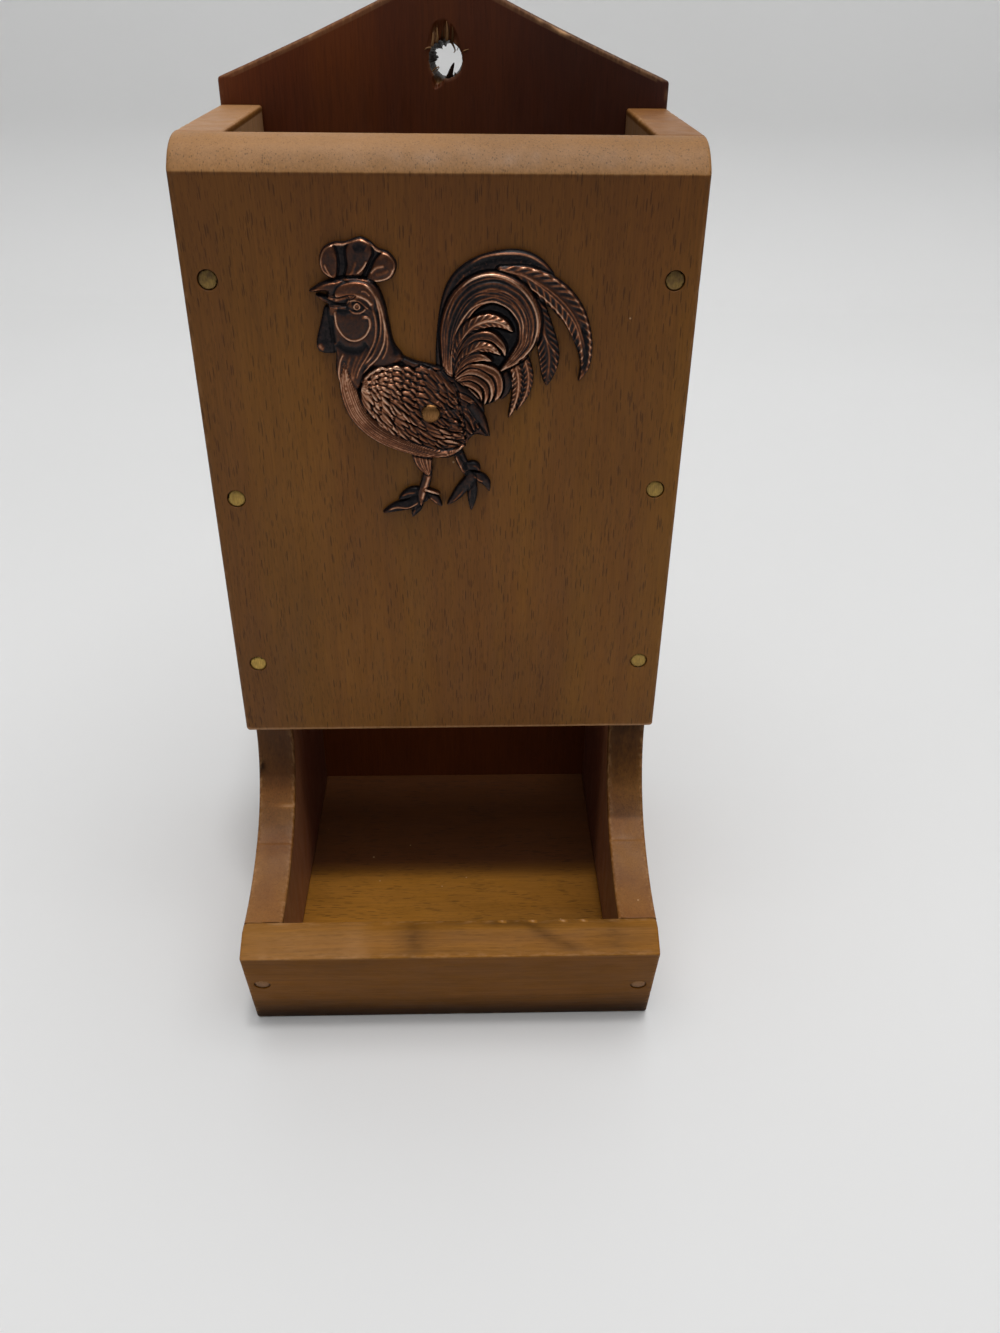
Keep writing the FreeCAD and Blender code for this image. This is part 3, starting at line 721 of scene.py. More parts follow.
def lip_board():
    """Stack of oblongs from the leaning face to the leaning back."""
    drop = lip_high[2] - LIP_ARRIS
    run = math.sqrt(2 * LIP_ROUND * drop - drop ** 2)
    start = math.asin((LIP_ROUND - drop) / LIP_ROUND)
    angle = np.linspace(math.pi - start, math.pi / 2, 13)
    y = lip_low[1] + run + LIP_ROUND * np.cos(angle)
    z = lip_high[2] - LIP_ROUND + LIP_ROUND * np.sin(angle)
    chord = (z - LIP_ARRIS) / drop
    y = y + PLANED * (lip_low[1] + run * chord - y)
    across = (y - lip_face(z)) / LIP_DEPTH
    setback, inset, wear = eased_edge(STOCK)
    share = np.union1d(setback / STOCK, across[1:-1])
    inset_at, wear_at = (np.interp(share, setback[2:-2] / STOCK, v[2:-2]) for v in (inset, wear))
    share = np.concatenate([[0, 0, 0], share, [1, 1, 1]])
    inset_at = np.concatenate([inset[:3], inset_at, inset[-3:]])
    wear_at = np.concatenate([wear[:3], wear_at, wear[-3:]])
    top = np.interp(share, np.append(across, 1), np.append(z, lip_high[2]))
    at_end = (share <= 0) | (share >= 1)
    front_fall = np.where(share <= 0, np.maximum(inset_at - EASE, 0.05), 0)
    rear_fall = np.where(share > 0.9, 0.15 * inset_at, 0)
    top = top - front_fall - rear_fall
    low = np.where(at_end, inset_at, np.minimum(inset_at, EASE))
    counted = oblong(HALF, 0, lip_high[2])
    rings = np.stack([outline(oblong(HALF - i, b, t), [0.5] * 4, counted=counted)
                      for i, b, t in zip(inset_at, low, top)])
    depth = share[:, None] * LIP_DEPTH
    body = np.stack([rings[..., 0], lip_face(rings[..., 1]) + depth, rings[..., 1]], -1)

    # smoky marks on the top: a band across it and a slanting one
    x, y = body[..., 0], body[..., 1]
    on_top = rings[..., 1] > LIP_ARRIS - 0.3
    slanting = np.interp(x, *zip(*SLANTING_MARK))
    smoke = 0.26 * bell(x, -7.1, 2.9) + 0.14 * bell(x, 32.0, 2.2)
    smoke += 0.26 * bell(y, slanting, 1.2) * smooth_step(x, 3, 9) * smooth_step(-x, -27, -23)
    smoke += 0.2 * bell(x, 18.2, 3.0) * bell(y, -36.2, 1.3)
    # the top is paler on the left, and a little paler near the front arris as painted light from above
    pale = -0.2 + 0.44 * smooth_step(-x, 10, 19) + 0.06 * bell(y, lip_low[1], 2.5)
    pale += 0.08 * lattice_noise(x, 36, 6.0)
    on_rear = smooth_step(y, lip_low[1] + 5.6, lip_low[1] + 6.4)
    pale -= 0.18 * on_rear * smooth_step(x, -6, -1) * smooth_step(-x, -33, -30)
    chips = sum(bell(x, place, 0.5) for place in CHIPS) * (share > 0.9)[:, None]
    stain = on_top * (smoke - pale - 1.1 * chips)
    seats = [seat_stack(place, lip_into) for place in lip_pin_places]
    return board_mesh("tray_lip", body, wear_at, stain, seats, 81, nicks=0.3)


add_piece("lip", lip_board(), lip_beech, "stained_beech", "tray_lip")

# %% [markdown]
# ## Tray floor
# A plain board between the sides.  Its grain runs across the tray, as the photographed flecks
# do, and its front edge follows the lip's lean.

# %% Tray floor
def floor_board():
    """Stack of oblongs in plan, from the underside up; the front edge moves with the lean."""
    setback, inset, wear = eased_edge(STOCK, 0.3)
    half = floor_high[0]
    rings = []
    for level, i in zip(setback, inset):
        front = lip_face(level) + LIP_DEPTH + 0.02
        plan = oblong(half, front, floor_high[1])
        rings.append(outline(plan, [0.3] * 4, i, oblong(half, floor_low[1], floor_high[1])))
    flat = np.stack(rings)
    body = np.concatenate([flat, np.broadcast_to(setback[:, None, None], (*flat.shape[:2], 1))], -1)
    return board_mesh("tray_floor", body, wear, np.zeros(flat.shape[:2]), [], 91, nicks=0.0)


add_piece("floor_board", floor_board(), floor_beech, "stained_beech", "tray_floor")

# %% [markdown]
# ## Back board
# Its top slopes up to a rounded crest, and the hanging hole below the crest was drilled without
# a backing block.  The wood has torn out along the grain above the hole and chipped below it.
# The torn zone is a few more outlines round the drilled circle, pressed in along the fibres, and
# the slivers that still hang in the hole are a piece of their own.

# %% Back board
BACK_PIN_HEIGHTS = (22.0, 88.0, 150.0)
BACK_FLOOR_PIN_X = 19.0
back_pin_places = [(side * (HALF - STOCK / 2), back_high[1], z)
                   for side in (-1, 1) for z in BACK_PIN_HEIGHTS]
back_pin_places += [(side * BACK_FLOOR_PIN_X, back_high[1], STOCK / 2) for side in (-1, 1)]
HOLE_POINTS = 300
HOLE_CENTRE = (0.2, HOLE_HEIGHT)
RAGGED_BORE = ((1.2, math.pi, 0.75), (1.15, 1.8, 0.62), (0.25, 4.2, 0.5))    # how deep, angle, width


def hanging_hole():
    """Stack of rims from the sound face, over the torn zone, through to the rear.  The torn zone
    is a tongue above the hole and a notch at the lower left.  It sinks in towards the rim, more
    where a noise across the fibres is high.  Returns the stack, its wear and its stain, with a
    painted shade that darkens the bore."""
    angle = np.linspace(0, 2 * math.pi, HOLE_POINTS, endpoint=False)
    tongue = bell(angle, 1.68, 0.62)
    notch = np.clip(1 - np.abs(angle - 4.30) / 0.32, 0, 1) ** 0.7
    rough = 0.1 * lattice_noise(angle, 9, 0.11) + 0.12 * lattice_noise(angle, 10, 0.35)
    outer = HOLE_R + 0.55 + 2.9 * tongue + 1.5 * notch
    rim = HOLE_R + rough + 0.3 * tongue + 1.35 * notch
    share = np.array([0, 0.12, 0.3, 0.5, 0.7, 0.86, 1])[:, None]
    radius = outer + (rim - outer) * share
    x = HOLE_CENTRE[0] + radius * np.cos(angle)
    z = HOLE_CENTRE[1] + radius * np.sin(angle)
    fibre = lattice_noise(x, 5, 0.42) + 0.5 * lattice_noise(x, 6, 0.2)
    torn = np.clip(tongue * 1.2 + 0.8 * notch, 0, 1) * smooth_step(share, 0.0, 0.5)
    depth = torn * (0.45 + 0.4 * fibre) + 0.15 * share ** 2
    depth[0] = 0
    bare = 0.75 * np.clip(fibre + 0.2, -1, 1) * (0.4 + 0.6 * tongue)
    stain = torn * (0.15 - bare) + 0.3 * share * (1 - torn)

    level = np.array([0.9, 1.6, 2.6, 4.2, 6.0, STOCK - 0.3, STOCK])[:, None]
    inner = HOLE_R + (rim - HOLE_R) * np.exp(-(level / 1.6) ** 2) + 0.2 * bell(level, STOCK, 0.5)
    ragged = sum(deep * bell(angle, at, wide) for deep, at, wide in RAGGED_BORE)
    ragged *= 1 + 0.3 * lattice_noise(angle, 12, 0.09) + 0.25 * lattice_noise(angle, 13, 0.3)
    inner = inner - ragged * smooth_step(level, 1.2, 5.0)
    level = level + (depth[-1:] - 0.15) * bell(level, 0.6, 0.7)
    x = np.concatenate([x, HOLE_CENTRE[0] + inner * np.cos(angle)])
    z = np.concatenate([z, HOLE_CENTRE[1] + inner * np.sin(angle)])
    depth = np.concatenate([depth, level])
    rings = np.stack([x, BACK_FACE + depth, z], -1)
    # painted shade: the bore is dark all through the hole
    bore_stain = np.broadcast_to(0.75 - 0.1 * smooth_step(level, 5, STOCK), inner.shape)
    stain = np.concatenate([stain, bore_stain])
    wear = np.repeat([0, 0, 0.1, 0.2, 0.4, 0.7, 1, 0.9, 0.6, 0.5, 0.5, 0.5, 0.5, 0], HOLE_POINTS)
    return rings, wear, np.ravel(stain)


def back_board():
    """Stack of the shaped outline from the inner face to the rear."""
    corners = [(-HALF, 0), (HALF, 0), (HALF, SHOULDER), (0, CREST_CORNER), (-HALF, SHOULDER)]
    radii = [0.6, 0.6, 0.7, CREST_ROUND, 0.7]
    setback, inset, wear = eased_edge(STOCK)
    rings = np.stack([outline(corners, radii, i, counted=corners) for i in inset])
    slope = np.clip((rings[..., 1] - SHOULDER) / (CREST_CORNER - SHOULDER), 0, 1)
    rings[..., 1] -= 0.4 * np.sin(math.pi * slope) * (slope < 0.8)
    depth = np.broadcast_to((BACK_FACE + setback)[:, None], rings.shape[:2])
    body = np.stack([rings[..., 0], depth, rings[..., 1]], -1)
    worn_top = (0.35 - 0.7 * bell(setback, 0.1, 0.22)[:, None]) * (slope > 0)
    seats = [seat_stack(place, (0, -1, 0)) for place in back_pin_places]
    return board_mesh("back_board", body, wear, worn_top, seats, 95, hanging_hole())


add_piece("back", back_board(), back_beech, "stained_beech", "back_board")


# %% Splinters
def sliver(points, radius, flat=0.6):
    """Stack of rings along a smooth line that taper to both ends; each ring is flattened in y."""
    line = curve(points, 14)
    share = np.linspace(0, 1, len(line))
    ahead_by = np.gradient(line, axis=0)
    ahead_by /= np.linalg.norm(ahead_by, axis=1, keepdims=True)
    beside_it = np.cross(ahead_by, (0, 1, 0))
    beside_it /= np.linalg.norm(beside_it, axis=1, keepdims=True)
    other = np.cross(ahead_by, beside_it)
    size = radius * (0.08 + 0.92 * (1 - share) ** 0.6 * smooth_step(share, -0.3, 0.1))
    angle = np.linspace(0, 2 * math.pi, 8, endpoint=False)[None, :, None]
    ring = np.cos(angle) * beside_it[:, None, :] + flat * np.sin(angle) * other[:, None, :]
    return line[:, None, :] + ring * size[:, None, None] * (1 + 0.15 * np.cos(3 * angle))


def splinters():
    """Slivers from the hole's rim, each as points in x, depth behind the face and z, with a
    radius and how dark it is."""
    table = (([(1.2, 1.6, 166.1), (1.1, 1.3, 167.0), (1.35, 1.1, 167.9), (1.75, 1.0, 168.9)], 0.62, 0.9),
             ([(0.4, 1.5, 166.0), (0.6, 1.3, 166.7), (0.9, 1.3, 167.5)], 0.4, 0.9),
             ([(2.0, 1.8, 166.3), (1.95, 1.6, 166.9), (1.8, 1.5, 167.4)], 0.3, 0.8),
             ([(-2.6, 1.0, 167.0), (-1.7, 0.8, 167.9), (-1.0, 0.8, 168.2), (-1.3, 0.9, 167.7),
               (-2.1, 1.1, 167.1)], 0.13, 0.2),
             ([(1.0, 1.2, 172.2), (1.5, 0.9, 171.7), (1.9, 0.9, 170.8), (1.6, 0.8, 170.4)], 0.22, 0.1),
             ([(2.3, 1.1, 172.0), (2.5, 0.9, 171.4), (2.2, 0.9, 170.7)], 0.15, -0.1),
             ([(2.9, 0.3, 170.7), (3.6, -0.02, 170.8), (4.4, -0.1, 171.1)], 0.17, 0.1),
             ([(-2.3, 0.3, 171.2), (-2.9, 0.02, 171.2), (-3.5, -0.1, 170.9)], 0.2, -0.3),
             ([(-2.1, 0.3, 171.4), (-1.95, 0.05, 172.3), (-1.9, 0.0, 173.6)], 0.3, -0.3),
             ([(-1.3, 0.4, 172.0), (-1.15, 0.1, 172.8), (-1.2, 0.05, 174.3)], 0.3, -0.2),
             ([(0.5, 0.5, 172.3), (0.6, 0.15, 173.6), (0.5, 0.05, 175.3)], 0.3, -0.25),
             ([(1.4, 0.5, 172.0), (1.55, 0.15, 173.3), (1.5, 0.1, 174.6)], 0.22, 0.6),
             ([(-0.2, 0.5, 172.3), (-0.3, 0.2, 173.1), (-0.2, 0.1, 173.9)], 0.25, 0.7))
    stacks = [sliver([(x, BACK_FACE + depth, z) for x, depth, z in points], radius)
              for points, radius, dark in table]
    fills = [[(k, row)] for k in range(len(stacks)) for row in (0, -1)]
    dark = np.repeat([dark for points, radius, dark in table], stacks[0].shape[0] * stacks[0].shape[1])
    return stacked_mesh("splinters", stacks, fills, arris=0 * dark, stain=dark)


add_piece("splinters", splinters(), torn_beech, "stained_beech")

# %% [markdown]
# ## Pins
# Brass panel pins were driven through the panel, the lip, the back board and the sides.  Their
# heads are flat, a little domed, and sit just under the wood.  Hammer and age have scratched
# them, and a dark crescent round each rim is painted shade, on the seat's wall and the head's
# rim.  A pin is a stack of rings down its own axis: round for the head, square for the shank,
# closing to a point.

# %% Pin shape
PIN_RING = 48


def pin_stack(place, into, profile, spin=0.0):
    """Rings about the line from place along into.  Each row of the profile is (depth, radius,
    squareness): the radius is divided by the larger of |cos| and |sin| as far as it is square."""
    into = np.asarray(into, float)
    beside = np.cross(into, (0, 0, 1))
    beside /= np.linalg.norm(beside)
    other = np.cross(into, beside)
    depth, radius, square = (np.array(v)[:, None] for v in zip(*profile))
    angle = np.linspace(0, 2 * math.pi, PIN_RING, endpoint=False) + 1e-4
    stretch = 1 / np.maximum(np.abs(np.cos(angle)), np.abs(np.sin(angle)))
    reach = radius * (1 + square * (stretch - 1))
    ring = (np.cos(angle + spin)[None, :, None] * beside + np.sin(angle + spin)[None, :, None] * other)
    return np.asarray(place, float) + reach[..., None] * ring + depth[..., None] * into


def pins_mesh(name, pins, profile):
    """Mesh of several pins.  Attributes: "rim" runs from 0 in the middle of a head to 1 at its
    rim, and "tone" is the pin's own shade, from dull 0 to bright 1."""
    stacks = [pin_stack(place, into, profile, 0.4 + 1.7 * k)
              for k, (place, into, tone) in enumerate(pins)]
    fills = [[(k, row)] for k in range(len(stacks)) for row in (0, -1)]
    rim = np.repeat(np.clip(np.array([radius for _, radius, _ in profile]) / PIN_R, 0, 1), PIN_RING)
    tone = np.repeat([tone for place, into, tone in pins], len(profile) * PIN_RING)
    return stacked_mesh(name, stacks, fills, rim=np.tile(rim, len(pins)), tone=tone)


FLAT_HEAD = [(0.12, 0.03, 0), (0.13, 0.5, 0), (0.15, 0.95, 0), (0.19, 1.28, 0), (0.25, 1.46, 0),
             (0.34, 1.54, 0), (0.45, PIN_R, 0), (0.98, PIN_R, 0), (1.08, 1.46, 0), (1.1, 0.95, 0),
             (1.2, 0.7, 1), (6.0, 0.7, 1), (11.0, 0.7, 1), (15.4, 0.7, 1), (17.4, 0.35, 1),
             (19.0, 0.03, 1)]
print("a pin is", len(FLAT_HEAD), "rings of", PIN_RING, "points")

# %% [markdown]
# ## Tarnished brass
# Bare brass goes from yellow to a brown-green skin where hands and polish don't reach.  The eye
# gets a warm metal with fine scratches in all directions, duller and darker towards the rim,
# where the darkening is painted shade.

# %% Brass
def tarnished_brass(name, dull, bright, pitch):
    """Brass that mixes from dull to bright by the tone attribute, with painted shade at the rim."""
    material, tree = new_material(name)
    place = add(tree, "TexCoord")["Object"]
    tone = add(tree, "Attribute", attribute_name="tone")["Fac"]
    rim = add(tree, "Attribute", attribute_name="rim")["Fac"]
    patches = add(tree, "TexNoise", {"Vector": place, "Scale": 1 / (pitch * MM), "Detail": 4.0})["Fac"]
    # scratches 1.6 mm long, drawn 0.06 mm wide, as coarse as they need to show
    scratch = add(tree, "Mapping", {"Vector": place, "Rotation": (0, 0.7, 0.2),
                                    "Scale": [1 / (mm * MM) for mm in (0.06, 0.06, 1.6)]})["Vector"]
    lines = add(tree, "TexNoise", {"Vector": scratch, "Scale": 1.0, "Detail": 1.0})["Fac"]
    share = add(tree, "Math", {0: tone, 1: patches, 2: -0.5}, operation="ADD")[0]
    share = add(tree, "Math", {0: share, 1: -0.3}, operation="ADD", use_clamp=True)[0]
    colour = add(tree, "Mix", {"Factor": share, 6: linear(dull), 7: linear(bright)}, **COLOURS)[2]
    worn = add(tree, "MapRange", {"Value": lines, "From Min": 0.4, "From Max": 0.7, "To Min": 0.8,
                                  "To Max": 1.25})["Result"]
    grey = add(tree, "CombineColor", {"Red": worn, "Green": worn, "Blue": worn})[0]
    colour = add(tree, "Mix", {"Factor": 1.0, 6: colour, 7: grey}, blend_type="MULTIPLY", **COLOURS)[2]
    # painted shade: darker in patches towards the rim
    rim_shade = add(tree, "Math", {0: rim, 1: patches}, operation="MULTIPLY")[0]
    rim_shade = add(tree, "MapRange", {"Value": rim_shade, "From Min": 0.42, "From Max": 0.6}, **SMOOTH)[0]
    colour = add(tree, "Mix", {"Factor": rim_shade, 6: colour, 7: linear("#2a2013")}, **COLOURS)[2]
    roughness = add(tree, "MapRange", {"Value": patches, "To Min": 0.3, "To Max": 0.5})["Result"]
    bump = add(tree, "Bump", {"Height": lines, "Strength": 0.4, "Distance": 0.01 * MM})["Normal"]
    metal = add(tree, "BsdfPrincipled", {"Base Color": colour, "Metallic": 1.0, "Roughness": roughness,
                                         "Normal": bump})
    add(tree, "OutputMaterial", {"Surface": metal["BSDF"]})
    return material


brass = tarnished_brass("tarnished_brass", "#5f4b34", "#b1914c", 0.8)
dull_brass = tarnished_brass("dull_brass", "#704b28", "#946c44", 0.6)
front_tones = (0.66, 0.44, 0.0, 0.4, 0.36, 0.0)
pins_of = {
    "front_panel_pins": (brass, [(place, (0, 1, 0), tone)
                                 for place, tone in zip(panel_pin_places, front_tones)]),
    "tray_lip_pins": (dull_brass, [(place, lip_into, 0.2) for place in lip_pin_places]),
    "back_board_pins": (brass, [(place, (0, -1, 0), 0.4) for place in back_pin_places]),
    "floor_pins": (brass, [(place, (-side, 0, 0), 0.4)
                           for side in (-1, 1) for place in floor_pin_places[side]]),
}
for node, (metal, pins) in pins_of.items():
    add_piece(node + "_brass", pins_mesh(node + "_brass", pins, FLAT_HEAD), metal, "pin_brass", node)

# %% [markdown]
# ## Rooster
# A die-cast ornament, about 45 mm across and 46 mm high and a little over 2 mm thick, flat at the
# back and modelled in low relief: every feather is a small form lying on the ones behind it, with
# a groove where it meets them.  Low relief is one height over each place of the panel, so it is
# worked out as a height on a fine grid.  Each form is laid over the earlier ones with a soft
# edge, from the far legs and tail to the near wing and head.  Places are x and z of the holder
# in mm.

# %% Relief grid
CELL = 0.115                # mm between grid points
grid_x, grid_z = np.meshgrid(np.arange(-21.6, 24.9, CELL), np.arange(101.6, 149.3, CELL))
height = np.zeros_like(grid_x)            # mm above the panel
inside = np.full_like(grid_x, -9.0)       # mm in from the nearest edge of the casting
bright = np.zeros_like(grid_x)            # how far polishing has bared the copper


def beside(line, reach, closed=False):
    """The part of the grid within reach of a line, and there: the share s along the line of the
    nearest place on it, the signed distance n to its left, and the line's length."""
    corner = np.array([grid_x[0, 0], grid_z[0, 0]])
    first = np.maximum(((line.min(0) - reach - corner) / CELL).astype(int), 0)
    last = ((line.max(0) + reach - corner) / CELL).astype(int) + 2
    window = (slice(first[1], last[1]), slice(first[0], last[0]))
    x, z = grid_x[window], grid_z[window]
    ahead_by = np.roll(line, -1, 0) - line
    if not closed:
        ahead_by[-1] = ahead_by[-2]
    steps = np.hypot(*ahead_by.T)
    unit = ahead_by / steps[:, None]
    nearest = np.zeros(x.shape, int)
    least = np.full(x.shape, 1e9)
    for k, (px, pz) in enumerate(line):
        gap = (x - px) ** 2 + (z - pz) ** 2
        nearer = gap < least
        nearest[nearer] = k
        least[nearer] = gap[nearer]
    dx, dz = x - line[nearest, 0], z - line[nearest, 1]
    forward = dx * unit[nearest, 0] + dz * unit[nearest, 1]
    across = unit[nearest, 0] * dz - unit[nearest, 1] * dx
    length = steps[:-1].sum()
    travelled = np.concatenate([[0], np.cumsum(steps[:-1])])
    s = (travelled[nearest] + np.clip(forward, -0.5, 0.5)) / length
    before = (nearest == 0) & (forward < 0)
    beyond = (nearest == len(line) - 1) & (forward > 0)
    past_end = (before | beyond) & (not closed)
    n = np.where(past_end, np.sign(across) * np.sqrt(least), across)
    return window, np.clip(s, 0, 1), n, length


def lay(window, depth_in, form, rub, cut=0.3):
    """Lays a form over the relief: depth_in is the distance in from its edge, form its height.
    The edge is soft over 0.14 mm, and a groove of depth cut runs just outside it."""
    cover = smooth_step(depth_in, -0.05, 0.09)
    groove = cut * np.exp(-((depth_in + 0.16) / 0.13) ** 2)
    below = height[window] - groove * (depth_in < 0.05) * (inside[window] > 0)
    height[window] = below * (1 - cover) + form * cover
    bright[window] = bright[window] * (1 - cover) + rub * cover
    inside[window] = np.maximum(inside[window], depth_in)


def feather_width(s, half, root, peak, tip):
    """Half width along a feather: a quarter sine from root to 1 at peak, then (1 - t^tip)^0.8."""
    rise = root + (1 - root) * np.sin(math.pi / 2 * np.clip(s / peak, 0, 1))
    t = np.clip((s - peak) / (1 - peak), 0, 1)
    return half * np.where(s < peak, rise, (1 - t ** tip) ** 0.8)


def feather(points, half, lift, rub, kind="plain", root=0.4, peak=0.5, tip=2.2, crown=0.45, fine=0.6,
            count=4, cut=0.3):
    """One feather or strand-like form along a smooth line.  Its crown is half an ellipse across.
    "barbs" adds a quill and slanted ridges every fine mm, "strands" adds about count thin ridges
    along it, unevenly spaced and deep, as a chisel leaves them."""
    line = curve(points)
    window, s, n, length = beside(line, half + 0.5)
    width = feather_width(s, half, root, peak, tip)
    depth_in = width - np.abs(n)
    share = np.clip(np.abs(n) / np.maximum(width, 0.05), 0, 1)
    form = lift + crown * np.sqrt(1 - share ** 2)
    tone = np.full_like(form, rub)
    wander = lattice_noise(s * length + 13 * lift, int(length * 10), 1.9)
    if kind == "barbs":
        phase = (s * length - 1.3 * np.abs(n)) / fine + 0.5 * (n > 0) + 0.12 * wander
        ridge = 0.5 + 0.5 * np.cos(2 * math.pi * phase)
        quill = np.exp(-(n / 0.15) ** 2) * smooth_step(1 - s, 0.05, 0.2)
        outward = smooth_step(share, 0.1, 0.5) * smooth_step(depth_in, 0, 0.25)
        form += 0.16 * (ridge ** 2 - 0.4) * outward * (1 - quill) + 0.14 * quill
        tone += (0.3 * ridge ** 3 - 0.08) * outward + 0.2 * quill
    elif kind == "strands":
        uneven = 0.22 * lattice_noise(n / np.maximum(width, 0.2) * 3.1, 17, 1.0) + 0.08 * wander
        ridge = 0.5 + 0.5 * np.cos(2 * math.pi * (count * 0.5 * n / np.maximum(width, 0.15) + uneven))
        broken = 0.6 + 0.4 * lattice_noise(s * length * 1.3 + 7 * np.round(count * 0.5 * share), 23, 1.6)
        form += 0.13 * (ridge ** 2 - 0.4)
        tone += 0.34 * ridge ** 3 * broken - 0.06
    lay(window, depth_in, form, tone, cut)


def mass(outline_points, lift, crown, span, rub, rim=0.0, cut=0.3):
    """A rounded mass inside a closed smooth outline: its height rises from lift by crown along
    a quarter ellipse over the first span mm, with a bead of height rim along its edge."""
    line = curve(outline_points, 260, closed=True)
    if np.sum(line[:, 0] * np.roll(line[:, 1], -1) - line[:, 1] * np.roll(line[:, 0], -1)) < 0:
        line = line[::-1]
    window, _, n, _ = beside(line, 0.6, closed=True)
    rise = np.clip(n / span, 0, 1)
    form = lift + crown * np.sqrt(1 - (1 - rise) ** 2)
    bead = rim * np.exp(-((n - 0.26) / 0.17) ** 2)
    lay(window, n, form + bead * 0.3, rub + bead * 0.6, cut)


def line_of(points, width, rise, rub=0.0, taper=0.15):
    """A raised or cut line: adds rise * exp(-(distance / width)^2), fading at both ends."""
    window, s, n, _ = beside(curve(points, 60), 4 * width)
    swell = np.exp(-(n / width) ** 2) * smooth_step(np.minimum(s, 1 - s), 0, taper)
    swell *= inside[window] > 0
    height[window] += rise * swell
    bright[window] += rub * swell


def lines_of(table, taper=0.15):
    """Raised and cut lines, each as points, width, rise and rub."""
    for points, width, rise, rub in table:
        line_of(points, width, rise, rub, taper)


def show_progress(part):
    """Prints what the relief covers so far and how high it rises."""
    covered = np.count_nonzero(inside > 0) * CELL ** 2
    print("%-13s %5.0f square mm covered, up to %.2f mm high" % (part, covered, height.max()))


print("grid of %d by %d points" % grid_x.shape[::-1])

# %% [markdown]
# ## Legs and feet
# They lie furthest back, so they come first.  The toes are broad and nearly black, and only a
# thin line along each has been polished.

# %% Legs
def toes(table):
    """Dark, broad forms, each as points, half width, lift and tone."""
    for points, half, lift, rub in table:
        feather(points, half, lift, rub - 0.07, "plain", 0.8, 0.35, 2.0, 0.35, cut=0.2)


toes((([(1.7, 115.2), (2.6, 112.8), (3.7, 110.4), (4.3, 108.8)], 0.95, 0.95, 0.10),
      ([(3.6, 111.6), (5.0, 111.6), (5.9, 110.8)], 0.8, 0.85, 0.03),
      ([(3.9, 109.9), (5.6, 109.6), (6.9, 108.7), (7.5, 107.0)], 0.85, 0.9, 0.12),
      ([(4.2, 110.0), (4.5, 106.8), (4.3, 103.4)], 0.95, 0.8, 0.05),
      ([(4.3, 109.6), (2.8, 107.6), (1.5, 105.9), (0.1, 104.5)], 0.95, 0.85, 0.14),
      ([(-4.4, 107.0), (-2.6, 106.3), (-0.7, 104.2)], 0.85, 0.85, 0.14),
      ([(-4.4, 105.6), (-5.2, 103.9), (-6.0, 102.3)], 0.9, 0.8, 0.04),
      ([(-3.6, 106.6), (-5.8, 106.7), (-8.3, 105.6)], 1.0, 0.85, 0.03),
      ([(-3.8, 105.8), (-6.2, 104.7), (-8.8, 104.0), (-11.2, 103.0)], 0.95, 0.9, 0.05),
      ([(-2.9, 111.2), (-3.4, 109.0), (-4.2, 106.6), (-4.4, 104.4)], 0.85, 1.05, 0.22)))
feather([(-3.4, 107.4), (-2.2, 106.95), (-0.9, 106.4)], 0.24, 1.25, 1.0, "plain", 1.0, 0.5, 3.0, 0.2)
lines_of((
    ([(1.4, 114.2), (2.2, 112.5), (3.1, 110.5)], 0.17, 0.2, 0.42),
    ([(2.2, 114.0), (3.0, 112.6), (3.8, 111.0)], 0.2, -0.25, -0.1),
    ([(4.7, 109.9), (5.6, 109.3), (6.4, 108.9)], 0.15, 0.15, 0.4),
    ([(4.6, 111.9), (5.3, 111.6), (5.8, 110.9)], 0.14, 0.1, 0.2),
    ([(3.0, 107.4), (2.4, 106.6), (1.1, 105.2)], 0.16, 0.12, 0.22),
    ([(4.0, 108.6), (4.1, 107.0), (4.0, 105.6)], 0.14, 0.1, 0.14),
    ([(-10.4, 103.6), (-8.6, 104.15), (-6.8, 104.05), (-5.4, 104.7), (-4.6, 105.4)], 0.15, 0.15, 0.62),
    ([(-10.8, 103.0), (-8.8, 103.3), (-6.9, 103.35)], 0.13, 0.12, 0.42),
    ([(-7.9, 106.2), (-6.6, 106.75), (-5.2, 106.9)], 0.15, 0.12, 0.34),
    ([(-3.0, 106.1), (-2.2, 105.5), (-1.5, 104.8)], 0.15, 0.12, 0.4),
    ([(-5.3, 104.4), (-5.5, 103.6), (-5.8, 102.9)], 0.13, 0.1, 0.2),
    ([(-2.7, 110.6), (-3.3, 108.8), (-3.9, 106.8), (-4.2, 105.4)], 0.26, 0.15, 0.5)))
feather([(-3.9, 115.4), (-3.8, 112.8), (-2.9, 110.1)], 1.85, 1.0, 0.42, "strands", 1.0, 0.2, 2.0, 0.5,
        count=6)
show_progress("legs")

# %% [markdown]
# ## Tail
# Two long sickle feathers arch over a big curled one, and smaller feathers nest inside its
# curl.  They spring from the rump and are laid from the far ones to the near ones.

